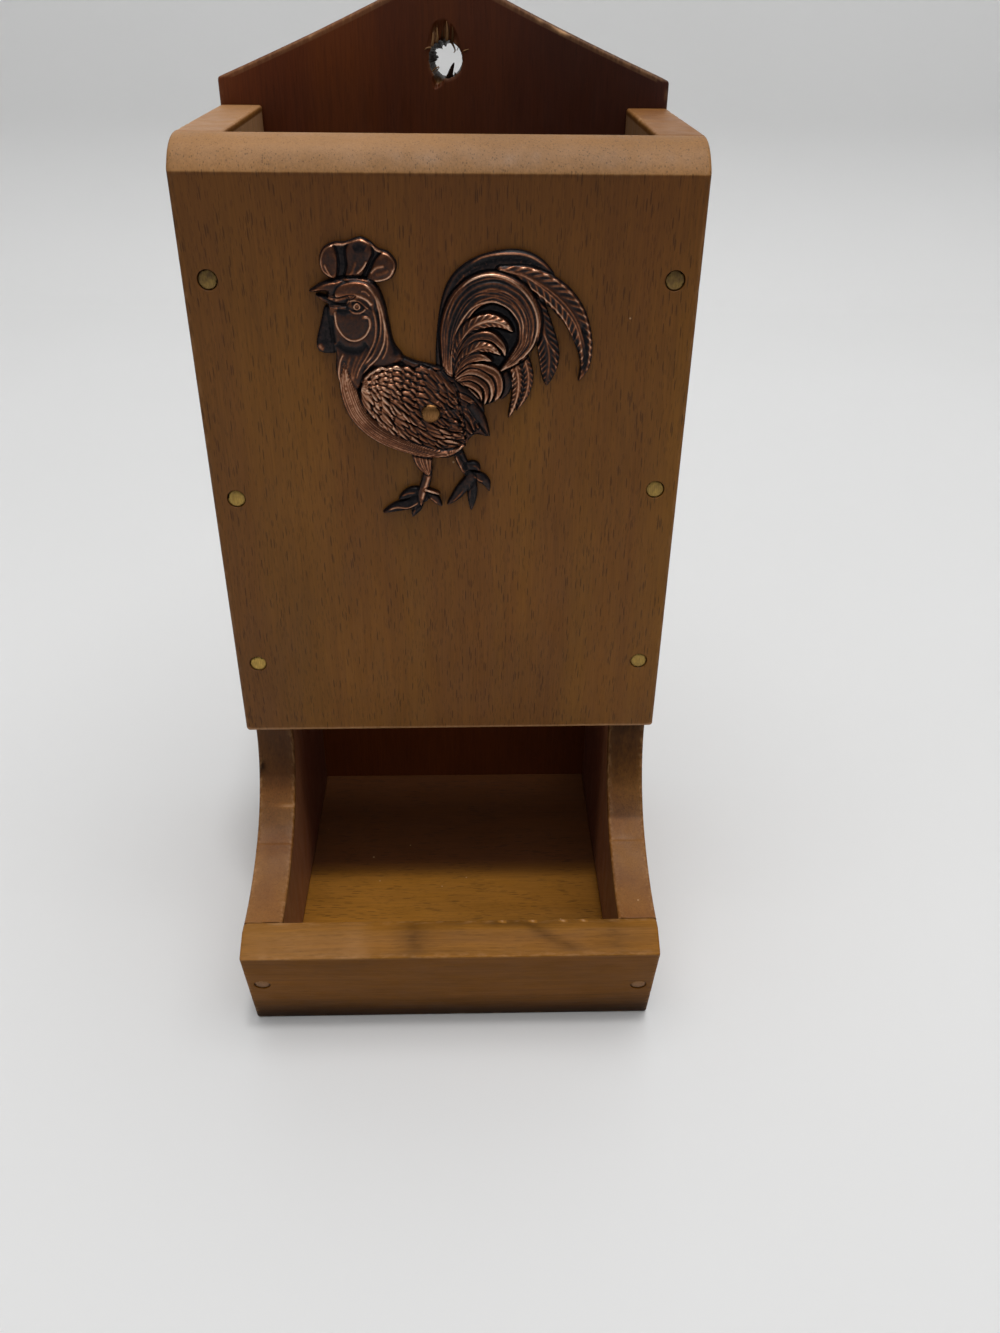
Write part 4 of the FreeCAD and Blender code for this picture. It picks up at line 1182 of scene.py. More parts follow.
# %% Tail feathers
mass([(-0.9, 127.0), (-1.1, 134.0), (0.5, 141.5), (4.5, 145.4), (10.5, 146.9), (14.8, 145.9),
      (17.5, 143.0), (15.0, 142.5), (14.0, 136.0), (12.5, 130.0), (10.6, 125.0), (7.0, 122.4),
      (3.0, 123.0)], 0.75, 0.35, 0.8, 0.02)
lines_of((
    ([(-0.6, 128.0), (-0.8, 134.0), (0.3, 139.5), (2.0, 143.0), (4.8, 145.0)], 0.18, 0.05, 0.10),
    ([(3.8, 144.6), (6.5, 145.95), (10.5, 146.4), (13.5, 146.0), (16.0, 144.6), (17.2, 143.3)], 0.17,
     0.2, 0.50),
    ([(2.6, 142.6), (5.6, 144.6), (9.0, 145.6), (13.0, 145.3), (16.0, 143.7)], 0.4, -0.2, -0.05),
    ([(1.0, 139.6), (2.4, 142.0), (4.4, 143.9), (6.8, 144.9)], 0.16, 0.1, 0.16)))
rng = np.random.default_rng(11)
crown_of_tail = curve([(2.0, 141.8), (5.5, 144.7), (9.5, 145.6), (13.5, 145.2), (16.0, 143.9)], 100)
for along in np.linspace(0.1, 0.9, 15):
    spot = crown_of_tail[int(along * 99)]
    line_of([spot, spot + rng.normal(0, 0.25, 2)], 0.16, 0.1, 0.12, 0.01)
feather([(14.9, 139.5), (16.0, 135.0), (17.0, 130.5), (16.7, 125.7)], 1.75, 0.75, 0.13, "barbs", 0.5,
        0.6, 2.0, fine=1.1)
line_of([(15.1, 136.0), (16.3, 133.6), (17.7, 131.4), (18.2, 129.2), (17.9, 127.2)], 0.15, 0.12, 0.25)
line_of([(15.0, 133.0), (15.6, 129.6), (16.0, 127.4)], 0.16, 0.12, 0.3)
feather([(9.0, 144.0), (13.2, 143.0), (17.3, 140.6), (20.6, 137.2), (22.5, 132.8), (22.9, 129.2),
         (21.9, 126.4)], 2.15, 0.95, 0.24, "barbs", 0.25, 0.42, 1.6, fine=1.35)
lines_of((
    ([(10.0, 144.6), (14.6, 143.9), (18.6, 141.8), (21.6, 138.6), (23.2, 134.6), (23.5, 130.6),
      (22.9, 127.4)], 0.15, 0.12, 0.34),
    ([(12.2, 142.4), (16.2, 139.5), (19.2, 136.3), (20.8, 132.6), (21.4, 129.0), (21.9, 126.8)], 0.17,
     0.16, 0.55),
    ([(11.5, 143.8), (15.2, 141.6), (18.4, 138.9), (20.9, 135.8), (22.1, 132.0), (22.4, 128.4)], 0.14,
     0.12, 0.32),
    ([(22.0, 136.0), (22.75, 133.0), (22.9, 130.0), (22.5, 127.8)], 0.38, -0.3, -0.4),
    ([(20.6, 134.9), (21.5, 132.0), (21.9, 129.0)], 0.2, -0.15, -0.25)))
feather([(10.8, 131.5), (12.0, 127.5), (11.9, 124.0), (10.5, 120.1)], 1.15, 1.05, 0.36, "barbs", 0.8,
        0.45, 1.5, fine=0.95)
feather([(12.6, 131.5), (13.7, 127.8), (13.4, 124.6), (11.8, 121.3)], 0.85, 0.95, 0.3, "barbs", 0.8,
        0.4, 1.7, fine=0.95)
line_of([(11.2, 129.0), (11.15, 126.0), (10.8, 122.6)], 0.14, 0.12, 0.4)
feather([(8.9, 128.4), (10.0, 126.0), (9.2, 123.4)], 1.1, 0.8, 0.1, "plain", 0.8, 0.5)
show_progress("tail")

# %% [markdown]
# ## The curl and what lies in it
# The big curled feather is wide at the top, dark where it springs from the rump and polished
# where it turns down.  Its strands are fine scratches, and only its two rims stand out.

# %% Curled feather
mass([(2.4, 128.0), (2.2, 134.0), (4.8, 138.3), (8.6, 139.0), (11.8, 136.6), (12.0, 132.6),
      (9.6, 128.0), (6.0, 126.0)], 0.85, 0.1, 0.6, 0.0)
feather([(0.9, 125.2), (0.85, 130.0), (1.45, 135.4), (3.6, 139.5), (7.4, 141.4), (11.2, 140.2),
         (13.5, 137.0), (13.6, 133.6), (12.2, 131.0), (9.0, 128.2)], 2.35, 1.35, 0.2, "strands", 0.2,
        0.5, 2.0, 0.5, count=7, cut=0.4)
lines_of((
    ([(0.5, 126.5), (0.35, 132.5), (1.4, 138.9), (3.9, 142.3)], 0.15, 0.1, 0.2),
    ([(2.4, 140.6), (4.2, 142.5), (7.3, 143.35), (11.0, 142.3), (14.0, 139.3), (15.0, 136.0),
      (14.3, 132.8), (12.0, 130.0), (9.2, 128.3)], 0.2, 0.2, 0.55),
    ([(1.3, 125.5), (1.35, 131.5), (2.6, 135.9), (5.0, 138.6), (7.8, 139.25), (10.5, 138.0),
      (11.8, 135.4), (11.6, 132.4), (10.2, 130.2), (9.1, 128.6)], 0.16, 0.2, 0.5),
    ([(4.4, 140.4), (7.4, 141.0), (10.2, 140.6), (12.4, 138.4), (13.3, 135.2)], 0.14, 0.1, 0.3),
    ([(3.6, 139.6), (6.2, 140.4), (9.6, 140.0), (11.6, 138.4), (12.6, 136.0), (12.4, 133.4)], 0.13, 0.1,
     0.26),
    ([(12.6, 139.6), (13.9, 137.0), (14.1, 134.4), (12.9, 131.9)], 0.2, 0.06, 0.22),
    ([(12.9, 136.6), (13.1, 134.0), (12.2, 131.6), (10.6, 129.8)], 0.25, 0.05, 0.25),
    ([(3.0, 141.0), (5.6, 142.3), (8.6, 142.5), (11.0, 141.6)], 0.3, -0.12, -0.12),
    ([(0.8, 129.0), (1.2, 133.0), (2.2, 137.4), (4.4, 140.4), (7.0, 141.4)], 1.1, 0.0, -0.14),
    ([(1.0, 126.6), (1.05, 129.0), (1.2, 131.6)], 0.4, 0.03, 0.28)))

feather([(1.9, 127.0), (2.3, 131.5), (4.0, 134.9), (6.8, 136.3), (9.3, 135.9), (11.1, 134.6)], 1.15,
        1.4, 0.26, "barbs", 0.5, 0.6, 2.4, fine=1.1, cut=0.4)
line_of([(4.8, 135.6), (7.0, 136.4), (9.0, 136.2), (10.9, 134.9)], 0.3, 0.05, 0.26)
feather([(2.0, 127.0), (2.7, 130.6), (4.6, 133.3), (7.2, 133.9), (9.3, 132.4), (9.9, 130.6)], 0.95, 1.5,
        0.14, "strands", 0.5, 0.5, 2.2, count=3, cut=0.3)
line_of([(2.3, 128.5), (3.0, 131.6), (4.9, 133.2), (7.2, 133.4), (9.0, 132.2), (9.8, 131.0)], 0.13,
        0.15, 0.4)
feather([(2.1, 127.0), (3.1, 130.0), (5.0, 131.9), (7.1, 132.2), (9.2, 131.0)], 1.0, 1.6, 0.24, "barbs",
        0.5, 0.5, 2.4, fine=0.9, cut=0.4)
line_of([(4.6, 132.2), (6.6, 132.8), (8.4, 132.0)], 0.25, 0.05, 0.3)
feather([(2.0, 127.0), (3.4, 129.6), (5.6, 130.6), (7.8, 130.0)], 0.75, 1.65, 0.26, "strands", 0.5, 0.5,
        count=3)
for spine, half, rub in (
        ([(1.2, 126.0), (4.4, 128.6), (7.9, 127.9), (8.8, 125.6), (8.3, 123.0)], 0.95, 0.3),
        ([(1.2, 126.0), (4.2, 128.0), (7.0, 126.9), (7.7, 124.8), (7.3, 122.9)], 0.7, 0.55),
        ([(1.2, 125.8), (4.0, 127.0), (6.3, 125.9), (6.8, 124.2), (6.5, 122.6)], 0.6, 0.3),
        ([(1.2, 125.5), (3.8, 126.1), (5.6, 125.1), (6.1, 123.0)], 0.5, 0.35),
        ([(0.4, 125.0), (3.0, 125.1), (5.0, 124.1), (5.8, 122.9)], 0.5, 0.55)):
    feather(spine, half, 1.7, rub, "strands", 0.4, 0.5, 2.6, 0.3, count=2, cut=0.4)
show_progress("curl")

# %% [markdown]
# ## Body and wing
# The breast is a smooth band, finely scratched and polished bright at the front, that runs under
# the wing.  The wing is some two hundred slim feathers.  Those at the shoulder are short and
# lie level, and the others are longer and slant down across the band, each laid over the last.

# %% Body and wing
mass([(-17.1, 127.0), (-16.8, 123.8), (-15.6, 121.0), (-13.8, 118.6), (-11.0, 116.5), (-8.0, 115.1),
      (-5.5, 114.0), (-2.8, 113.3), (0.5, 113.2), (2.4, 114.3), (3.4, 115.6), (5.0, 117.3),
      (7.5, 117.0), (6.6, 119.0), (6.4, 122.3), (4.5, 124.8), (0.8, 127.6), (-0.5, 128.8),
      (-3.5, 129.0), (-6.0, 129.6), (-9.0, 131.5), (-16.5, 130.5)], 0.8, 0.9, 2.2, 0.08)
feather([(-9.0, 131.8), (-7.2, 130.2), (-4.5, 129.0), (-0.6, 128.4)], 0.6, 1.0, 0.1, "plain", 1.0, 0.5,
        3.0)
for spine, half, rub in (
        ([(-2.0, 126.0), (1.5, 124.4), (4.3, 123.0), (5.9, 120.6)], 0.6, 0.3),
        ([(-2.0, 125.0), (1.0, 123.4), (3.8, 121.9), (5.6, 118.6)], 0.75, 0.05),
        ([(-1.5, 123.8), (1.4, 122.4), (3.8, 120.9), (4.9, 118.2)], 0.6, 0.1),
        ([(-1.5, 122.8), (0.8, 121.5), (3.0, 119.5), (4.6, 117.6)], 0.7, 0.05)):
    feather(spine, half, 1.5, rub, "strands", 0.7, 0.5, 2.2, 0.3, count=2)
line_of([(3.2, 122.3), (4.6, 121.2), (5.0, 119.6)], 0.17, 0.2, 0.45)
line_of([(4.2, 123.0), (5.4, 121.6), (5.9, 119.6)], 0.17, 0.2, 0.45)
feather([(4.6, 122.2), (6.2, 119.8), (7.5, 117.0)], 0.8, 1.2, 0.03, "plain", 0.9, 0.3, 1.4)

lower = curve([(-13.8, 124.3), (-12.6, 121.0), (-10.0, 118.2), (-6.0, 116.0), (-1.0, 114.9),
               (3.4, 116.2)], 101)
upper = curve([(-13.2, 126.8), (-11.0, 128.4), (-8.0, 128.8), (-4.5, 128.3), (-1.5, 127.4),
               (1.8, 125.2)], 101)


def on_wing(u, v):
    """Place on the wing: u runs from the shoulder to the tail, v from the lower edge to the upper."""
    k = np.clip(u, 0, 1) * 100
    low, share = np.minimum(np.floor(k).astype(int), 99), k - np.minimum(np.floor(k), 99)
    first, second = (edge[low] * (1 - share) + edge[low + 1] * share for edge in (lower, upper))
    return first * (1 - v) + second * v


mass(np.concatenate([lower[::6], upper[::-6]]), 1.5, 0.4, 1.6, 0.12)
for u in np.linspace(0.92, 0.0, 17):
    for v in np.linspace(0.02, 0.98, 13 if u > 0.2 else 9) + rng.uniform(-0.03, 0.03):
        start = u + rng.uniform(-0.03, 0.03)
        shoulder = smooth_step(v + 0.35 * rng.uniform(-1, 1) * 0.3, 0.45, 0.7) * (u < 0.6)
        long = (0.2 - 0.09 * shoulder) * rng.uniform(0.8, 1.2)
        fall = (0.13 - 0.12 * shoulder) * rng.uniform(0.6, 1.4)
        spots = [on_wing(np.float64(start + long * t), v - fall * (t - 0.4) + 0.02 * math.sin(3 * t))
                 for t in (0, 0.5, 1)]
        centre = spots[1]
        mottle = lattice_noise(centre[0] * 1.3 + centre[1] * 2.1, 41, 1.7) * 0.16
        light = 0.5 - 0.3 * smooth_step(centre[0], -11, -5) + 0.12 * bell(v, 0.1, 0.15) + mottle
        light -= 0.14 * bell(centre[0], 1.0, 2.5) * bell(centre[1], 120.5, 2.5)
        edge_fall = 0.5 * (2 * abs(v - 0.55)) ** 2 + 0.35 * start ** 3
        feather(spots, rng.uniform(0.36, 0.48), 1.9 - edge_fall, light, "plain", 0.6, 0.4, 2.0, 0.2,
                cut=0.2)
        line_of([s + (0, 0.16) for s in spots], 0.13, 0.07, 0.3 * rng.uniform(0.3, 1), 0.3)
line_of([(-13.9, 123.2), (-13.9, 125.8), (-12.9, 127.6), (-11.2, 129.0), (-9.0, 129.6), (-6.0, 129.3)],
        0.28, -0.5, -0.4, 0.08)
line_of([(-12.9, 126.9), (-11.2, 128.3), (-9.0, 128.8), (-6.6, 128.4)], 0.2, 0.12, 0.4, 0.1)
line_of([(-0.2, 122.9), (1.4, 121.6), (2.4, 119.9), (2.3, 118.3)], 0.25, -0.25, -0.3, 0.1)
show_progress("body and wing")

# %% [markdown]
# ## Head, comb and neck
# The neck carries long hackle strands that sweep back from the cheek.  The comb has three lobes
# with black valleys between them and a polished rim, and the wattle hangs dark under the beak.

# %% Head and comb
mass([(-17.3, 142.4), (-18.6, 143.6), (-18.9, 145.4), (-18.2, 147.0), (-16.5, 147.8), (-14.8, 147.9),
      (-12.5, 148.6), (-11.0, 148.0), (-9.8, 147.0), (-8.2, 146.4), (-7.1, 145.0), (-7.2, 143.6),
      (-8.3, 142.3), (-10.8, 141.8), (-13.0, 142.2), (-15.0, 142.0)], 0.85, 0.1, 0.7, 0.02, 0.55)
for lobe, rub in (
        ([(-17.2, 142.4), (-18.45, 143.8), (-18.7, 145.4), (-18.0, 146.8), (-16.7, 147.4),
          (-16.1, 145.8), (-16.2, 143.8), (-16.5, 142.6)], 0.20),
        ([(-14.9, 142.6), (-14.6, 144.6), (-14.7, 146.4), (-14.3, 147.5), (-12.5, 148.2),
          (-11.2, 147.7), (-10.7, 146.4), (-11.5, 144.8), (-12.8, 142.7)], 0.14),
        ([(-11.7, 142.3), (-11.0, 143.9), (-10.2, 145.4), (-9.2, 146.3), (-8.1, 145.9), (-7.4, 144.8),
          (-7.5, 143.7), (-8.5, 142.6), (-10.0, 142.1)], 0.22)):
    mass(lobe, 0.95, 0.42, 1.0, rub, cut=0.25)
line_of([(-17.1, 142.7), (-18.4, 143.8), (-18.6, 145.4), (-17.9, 146.9), (-16.5, 147.5), (-14.8, 147.6),
         (-12.6, 148.25), (-11.1, 147.65), (-9.8, 146.65), (-8.3, 146.05), (-7.4, 145.0), (-7.5, 143.7),
         (-8.5, 142.6), (-10.6, 142.1)], 0.17, 0.12, 0.5, 0.03)
mass([(-18.4, 138.4), (-19.3, 136.0), (-20.1, 133.5), (-20.3, 132.0), (-19.6, 131.1), (-18.3, 130.9),
      (-17.2, 131.2), (-16.5, 133.5), (-16.6, 137.0)], 0.8, 0.5, 0.9, 0.02)
line_of([(-19.9, 132.7), (-19.5, 132.0), (-18.9, 131.7)], 0.5, 0.12, 0.45, 0.3)
mass([(-17.2, 142.1), (-13.0, 142.7), (-10.4, 141.7), (-9.1, 139.0), (-8.5, 135.5), (-7.9, 132.6),
      (-6.6, 130.2), (-9.5, 129.0), (-12.6, 128.6), (-13.9, 125.4), (-16.6, 125.6), (-17.5, 128.0),
      (-17.3, 131.0), (-17.6, 134.0), (-17.9, 137.5), (-18.0, 140.0)], 1.15, 0.7, 1.8, 0.20, cut=0.12)
feather([(-16.0, 129.6), (-15.8, 125.5), (-14.4, 120.9), (-10.8, 117.3), (-5.5, 114.9), (0.0, 114.1),
         (3.4, 115.6)], 1.5, 1.25, 0.42, "strands", 0.1, 0.2, 2.2, 0.5, count=9, cut=0.1)
line_of([(-16.2, 129.0), (-15.8, 126.4), (-15.3, 124.0), (-14.0, 121.0), (-12.6, 119.0)], 0.9, 0.0, 0.2)
line_of([(-8.0, 115.9), (-4.0, 114.6), (0.5, 114.3), (3.0, 115.2)], 0.5, 0.0, -0.16)
feather([(-14.6, 140.8), (-17.6, 141.4), (-20.9, 140.6)], 1.1, 1.35, 0.06, "plain", 1.0, 0.2, 1.3, 0.4)
feather([(-15.5, 139.4), (-17.8, 139.3), (-19.9, 140.2)], 0.75, 1.15, 0.06, "plain", 1.0, 0.2, 1.4, 0.3)
lines_of((
    ([(-20.6, 140.95), (-19.2, 141.5), (-17.4, 141.9), (-15.4, 142.2)], 0.14, 0.08, 0.16),
    ([(-20.6, 140.5), (-19.0, 140.25), (-17.6, 139.7), (-16.7, 139.5)], 0.16, 0.14, 0.5),
    ([(-19.5, 139.9), (-18.5, 139.1), (-17.5, 138.0)], 0.13, 0.14, 0.36),
    ([(-20.3, 140.25), (-18.8, 139.85), (-17.2, 139.05), (-16.0, 138.7), (-14.8, 138.7)], 0.15, -0.3,
     -0.15)))
mass([(-16.6, 139.9), (-16.2, 141.4), (-14.0, 142.2), (-11.7, 141.8), (-10.7, 140.2), (-10.9, 138.2),
      (-12.0, 139.4), (-14.0, 140.3)], 1.8, 0.2, 0.9, 0.24, 0.0, 0.1)
mass([(-16.9, 137.6), (-16.4, 135.0), (-15.1, 133.4), (-13.6, 133.3), (-12.1, 134.3), (-11.6, 136.0),
      (-12.2, 137.2), (-14.2, 137.6)], 1.65, 0.3, 1.3, 0.2, 0.0, 0.15)
lines_of((
    ([(-17.0, 138.0), (-16.8, 135.7), (-15.7, 133.9), (-14.2, 133.2), (-12.6, 133.8), (-11.6, 135.3),
      (-11.6, 136.6), (-12.3, 136.9), (-12.8, 136.7)], 0.19, 0.22, 0.62),
    ([(-17.0, 139.4), (-15.2, 139.85), (-13.4, 140.1), (-11.9, 139.6), (-11.0, 138.6)], 0.3, 0.16,
     0.55),
    ([(-16.6, 137.9), (-15.6, 137.7), (-14.6, 138.0)], 0.5, -0.12, -0.3),
    ([(-15.2, 138.9), (-14.3, 139.4), (-13.1, 139.3), (-12.2, 138.6), (-11.6, 138.1)], 0.1, 0.16, 0.5),
    ([(-14.7, 138.1), (-13.9, 137.5), (-12.8, 137.6), (-12.0, 138.2)], 0.11, 0.16, 0.55),
    ([(-15.2, 138.6), (-14.2, 137.9), (-13.2, 138.0), (-12.4, 138.5), (-13.2, 139.1), (-14.3, 139.0)],
     0.2, -0.15, -0.35),
    ([(-12.6, 140.9), (-11.9, 140.8), (-11.3, 140.2)], 0.14, 0.1, 0.35),
    ([(-17.0, 132.9), (-15.6, 131.8), (-13.6, 131.6), (-11.9, 132.6)], 0.6, -0.25, -0.3),
    ([(-17.4, 137.2), (-17.5, 135.0), (-17.3, 132.6)], 0.4, -0.25, -0.25)), 0.06)
angle = np.linspace(0, 2 * math.pi, 12)
line_of(np.stack([-13.4 + 0.44 * np.cos(angle), 138.5 + 0.44 * np.sin(angle)], 1), 0.11, 0.2, 0.7, 0.01)
line_of([(-13.6, 138.5), (-13.4, 138.55), (-13.2, 138.5)], 0.16, 0.12, 0.3)
lines_of((
    ([(-12.4, 142.2), (-10.9, 140.9), (-10.1, 138.5), (-9.85, 136.0), (-10.2, 133.6), (-11.4, 131.0),
      (-12.9, 129.1)], 0.17, 0.2, 0.5),
    ([(-10.5, 140.9), (-9.6, 138.0), (-9.25, 135.0), (-9.5, 132.8), (-10.6, 130.6), (-12.4, 128.6),
      (-13.6, 126.6)], 0.17, 0.2, 0.5),
    ([(-10.4, 138.4), (-10.05, 135.6), (-10.5, 132.9), (-12.0, 130.3)], 0.2, -0.2, -0.22),
    ([(-9.3, 137.0), (-8.9, 134.0), (-9.1, 131.8), (-10.0, 130.0)], 0.15, 0.16, 0.34),
    ([(-8.6, 137.0), (-8.1, 134.0), (-7.8, 132.0), (-7.4, 130.6)], 0.45, -0.12, -0.3),
    ([(-11.1, 138.6), (-10.6, 136.2), (-10.9, 133.4), (-12.1, 131.0), (-13.6, 128.6), (-14.3, 126.6)],
     0.15, 0.16, 0.32),
    ([(-11.9, 132.6), (-13.0, 131.0), (-14.2, 128.6), (-14.9, 126.4)], 0.2, 0.08, 0.16),
    ([(-15.9, 131.3), (-16.6, 129.9), (-17.0, 127.6), (-16.9, 125.2)], 0.15, 0.16, 0.4),
    ([(-14.9, 130.8), (-15.6, 128.6), (-15.8, 126.4)], 0.2, 0.1, 0.16),
    ([(-13.8, 131.0), (-14.7, 128.6), (-15.1, 126.4)], 0.2, 0.1, 0.14),
    ([(-18.1, 144.8), (-17.7, 143.8), (-17.0, 142.7)], 0.14, 0.12, 0.4),
    ([(-13.6, 146.9), (-12.6, 147.4), (-11.6, 146.9)], 0.6, -0.1, -0.14),
    ([(-14.4, 143.0), (-13.8, 143.8), (-13.2, 145.2)], 0.2, 0.08, 0.18),
    ([(-13.2, 143.3), (-12.2, 144.2), (-11.5, 145.2)], 0.2, 0.16, 0.5),
    ([(-11.2, 143.4), (-10.2, 144.2), (-8.8, 144.5)], 0.2, 0.14, 0.4),
    ([(-10.8, 142.2), (-9.2, 142.4), (-8.0, 142.9), (-7.5, 144.2)], 0.24, 0.1, 0.42),
    ([(-10.4, 143.1), (-9.2, 143.4), (-8.2, 143.9)], 0.3, 0.04, 0.16),
    ([(-16.5, 142.6), (-14.0, 142.9), (-11.5, 142.6)], 0.2, -0.25, -0.2)), 0.1)
show_progress("head and comb")

# %% [markdown]
# ## From heights to a casting
# At the silhouette the height falls along a round to a thin edge.  Forms stand out because the
# black stays in the hollows and polish bares the ridges, so the difference between the height
# and its blurred copy says how bright each place is.

# %% Casting
def blurred(values, radius):
    """Gaussian blur of the grid, as a product of its Fourier transform with exp(-2 (pi f r)^2)."""
    fz, fx = np.fft.fftfreq(values.shape[0], CELL), np.fft.fftfreq(values.shape[1], CELL)
    kept = np.exp(-2 * (math.pi * radius) ** 2 * (fz[:, None] ** 2 + fx[None, :] ** 2))
    return np.real(np.fft.ifft2(np.fft.fft2(values) * kept))


SEAT_UP = 2.1                       # the rooster pin's seat above the panel
SEAT_AROUND = 1.62                  # the seat's radius
ROOSTER_PIN = (-2.3, 121.4)
THINNEST, THICKEST = 0.3, 2.47      # limits of the casting's height
FOOT_TONE = 0.02                    # the rim on the panel stays black
from_pin = np.hypot(grid_x - ROOSTER_PIN[0], grid_z - ROOSTER_PIN[1])
height = np.where(from_pin < SEAT_AROUND, SEAT_UP - 0.03, height)
bright = np.where(from_pin < SEAT_AROUND, 0.05, bright)
edge_height = 0.45 + 2.1 * np.sqrt(np.clip(inside, 0, 2) / 1.1)
height = np.clip(np.minimum(height, edge_height), THINNEST, THICKEST)
solid = smooth_step(inside, -0.1, 0.1)
hollow, broad = ((height - blurred(height * solid, r) / np.maximum(blurred(solid, r), 0.05)) * solid
                 for r in (0.3, 1.0))
edge_shade = 0.25 * np.clip(1 - inside / 0.35, 0, 1)
rubbed = np.clip(0.95 * bright + 1.7 * hollow + 0.2 * broad + 0.04 - edge_shade, 0, 1)
print("polish has bared %.0f %% of the casting" % (100 * np.mean(rubbed[inside > 0] > 0.5)))


def casting_mesh(name):
    """Grid cells whose corners lie inside on average, with the edge's points moved onto the
    silhouette along the slope of "inside", a skirt down to the panel and a flat back."""
    middle = (inside[:-1, :-1] + inside[1:, :-1] + inside[:-1, 1:] + inside[1:, 1:]) / 4
    kept = middle > 0
    crossed = (kept[:-1, :-1] & kept[1:, 1:] & ~kept[1:, :-1] & ~kept[:-1, 1:])
    crossed |= (~kept[:-1, :-1] & ~kept[1:, 1:] & kept[1:, :-1] & kept[:-1, 1:])
    for rows in (slice(None, -1), slice(1, None)):
        for columns in (slice(None, -1), slice(1, None)):
            kept[rows, columns] |= crossed
    padded = np.pad(kept, 1)
    touching = padded[:-1, :-1].astype(int) + padded[1:, :-1] + padded[:-1, 1:] + padded[1:, 1:]
    on_edge = (touching > 0) & (touching < 4)
    slope_z, slope_x = np.gradient(inside, CELL)
    steep = np.maximum(slope_x ** 2 + slope_z ** 2, 0.3)
    shift = np.clip(-inside / steep, -0.9 * CELL, 0.9 * CELL) * on_edge
    x, z = grid_x + shift * slope_x, grid_z + shift * slope_z
    index = np.where(touching > 0, np.cumsum(touching > 0).reshape(touching.shape) - 1, -1)
    top = np.stack([x, panel_low[1] - height, z], -1)[touching > 0]
    a, b, c, d = index[:-1, :-1][kept], index[:-1, 1:][kept], index[1:, 1:][kept], index[1:, :-1][kept]
    cells = np.stack([a, b, c, d], -1)
    before, here, after = slice(None, -2), slice(1, -1), slice(2, None)
    sides = []
    for rows, columns, first, second in ((before, here, a, b), (here, after, b, c),
                                         (after, here, c, d), (here, before, d, a)):
        open_side = ~padded[rows, columns][kept]
        sides.append(np.stack([first[open_side], second[open_side]], -1))
    sides = np.concatenate(sides)
    rim = np.unique(sides)
    foot = np.full(len(top), -1)
    foot[rim] = len(top) + np.arange(len(rim))
    skirt = np.stack([sides[:, 1], sides[:, 0], foot[sides[:, 0]], foot[sides[:, 1]]], -1)
    low = top[rim].copy()
    low[:, 1] = panel_low[1]
    points = np.concatenate([top, low]) * MM
    mesh = bpy.data.meshes.new(name)
    mesh.from_pydata(points.tolist(), [], np.concatenate([cells, skirt]).tolist())
    built = bmesh.new()
    built.from_mesh(mesh)
    bmesh.ops.triangle_fill(built, use_beauty=False, edges=[e for e in built.edges if e.is_boundary])
    bmesh.ops.recalc_face_normals(built, faces=built.faces)
    if built.calc_volume(signed=True) < 0:
        bmesh.ops.reverse_faces(built, faces=built.faces)
    for face in built.faces:
        face.smooth = len(face.verts) == 4
    built.to_mesh(mesh)
    built.free()
    keep_values(mesh, rubbed=np.concatenate([rubbed[touching > 0], np.full(len(rim), FOOT_TONE)]))
    return mesh


# %% [markdown]
# ## Antiqued copper plate
# The casting was copper plated, dipped until it went blue-black, and buffed.  The eye gets
# pinkish bare copper on the ridges, a dark red-brown on the slopes and black in the hollows.
# Bare copper is smooth metal; the black skin is duller and hardly metallic.

# %% Antiqued copper
COPPER_TONES = ((0.0, "#08070b"), (0.14, "#180d0d"), (0.34, "#452718"), (0.6, "#83543c"),
                (0.85, "#b88a6e"), (1.0, "#cfa78c"))          # from the black skin to bare copper


def antiqued_copper():
    """Copper whose tone, metal and gloss follow how far polish has bared it, less evenly by the
    noise of a half-millimetre grain."""
    material, tree = new_material("antiqued_copper_plate")
    place = add(tree, "TexCoord")["Object"]
    bared = add(tree, "Attribute", attribute_name="rubbed")["Fac"]
    grains = add(tree, "TexNoise", {"Vector": place, "Scale": 1 / (0.5 * MM), "Detail": 4.0})["Fac"]
    uneven = add(tree, "MapRange", {"Value": grains, "To Min": -0.22, "To Max": 0.22})["Result"]
    share = add(tree, "Math", {0: bared, 1: uneven}, operation="ADD", use_clamp=True)[0]
    tone = add(tree, "ValToRGB", {"Fac": share})["Color"]
    stops = tone.node.color_ramp.elements
    for k, (spot, code) in enumerate(COPPER_TONES):
        stop = stops[k] if k < 2 else stops.new(spot)
        stop.position = spot
        stop.color = linear(code)
    metallic = add(tree, "MapRange", {"Value": share, "From Min": 0.12, "From Max": 0.5, "To Min": 0.05,
                                      "To Max": 1.0})["Result"]
    roughness = add(tree, "MapRange", {"Value": share, "From Max": 0.8, "To Min": 0.42,
                                       "To Max": 0.3})["Result"]
    bump = add(tree, "Bump", {"Height": grains, "Strength": 0.25, "Distance": 0.04 * MM})["Normal"]
    gloss = add(tree, "MapRange", {"Value": share, "From Max": 0.4, "To Min": 0.15,
                                   "To Max": 0.5})["Result"]
    metal = add(tree, "BsdfPrincipled", {"Base Color": tone, "Metallic": metallic,
                                         "Roughness": roughness, "Specular IOR Level": gloss,
                                         "Normal": bump})
    add(tree, "OutputMaterial", {"Surface": metal["BSDF"]})
    return material


add_piece("rooster_casting", casting_mesh("rooster_casting"), antiqued_copper(), "antique_copper",
          "rooster")

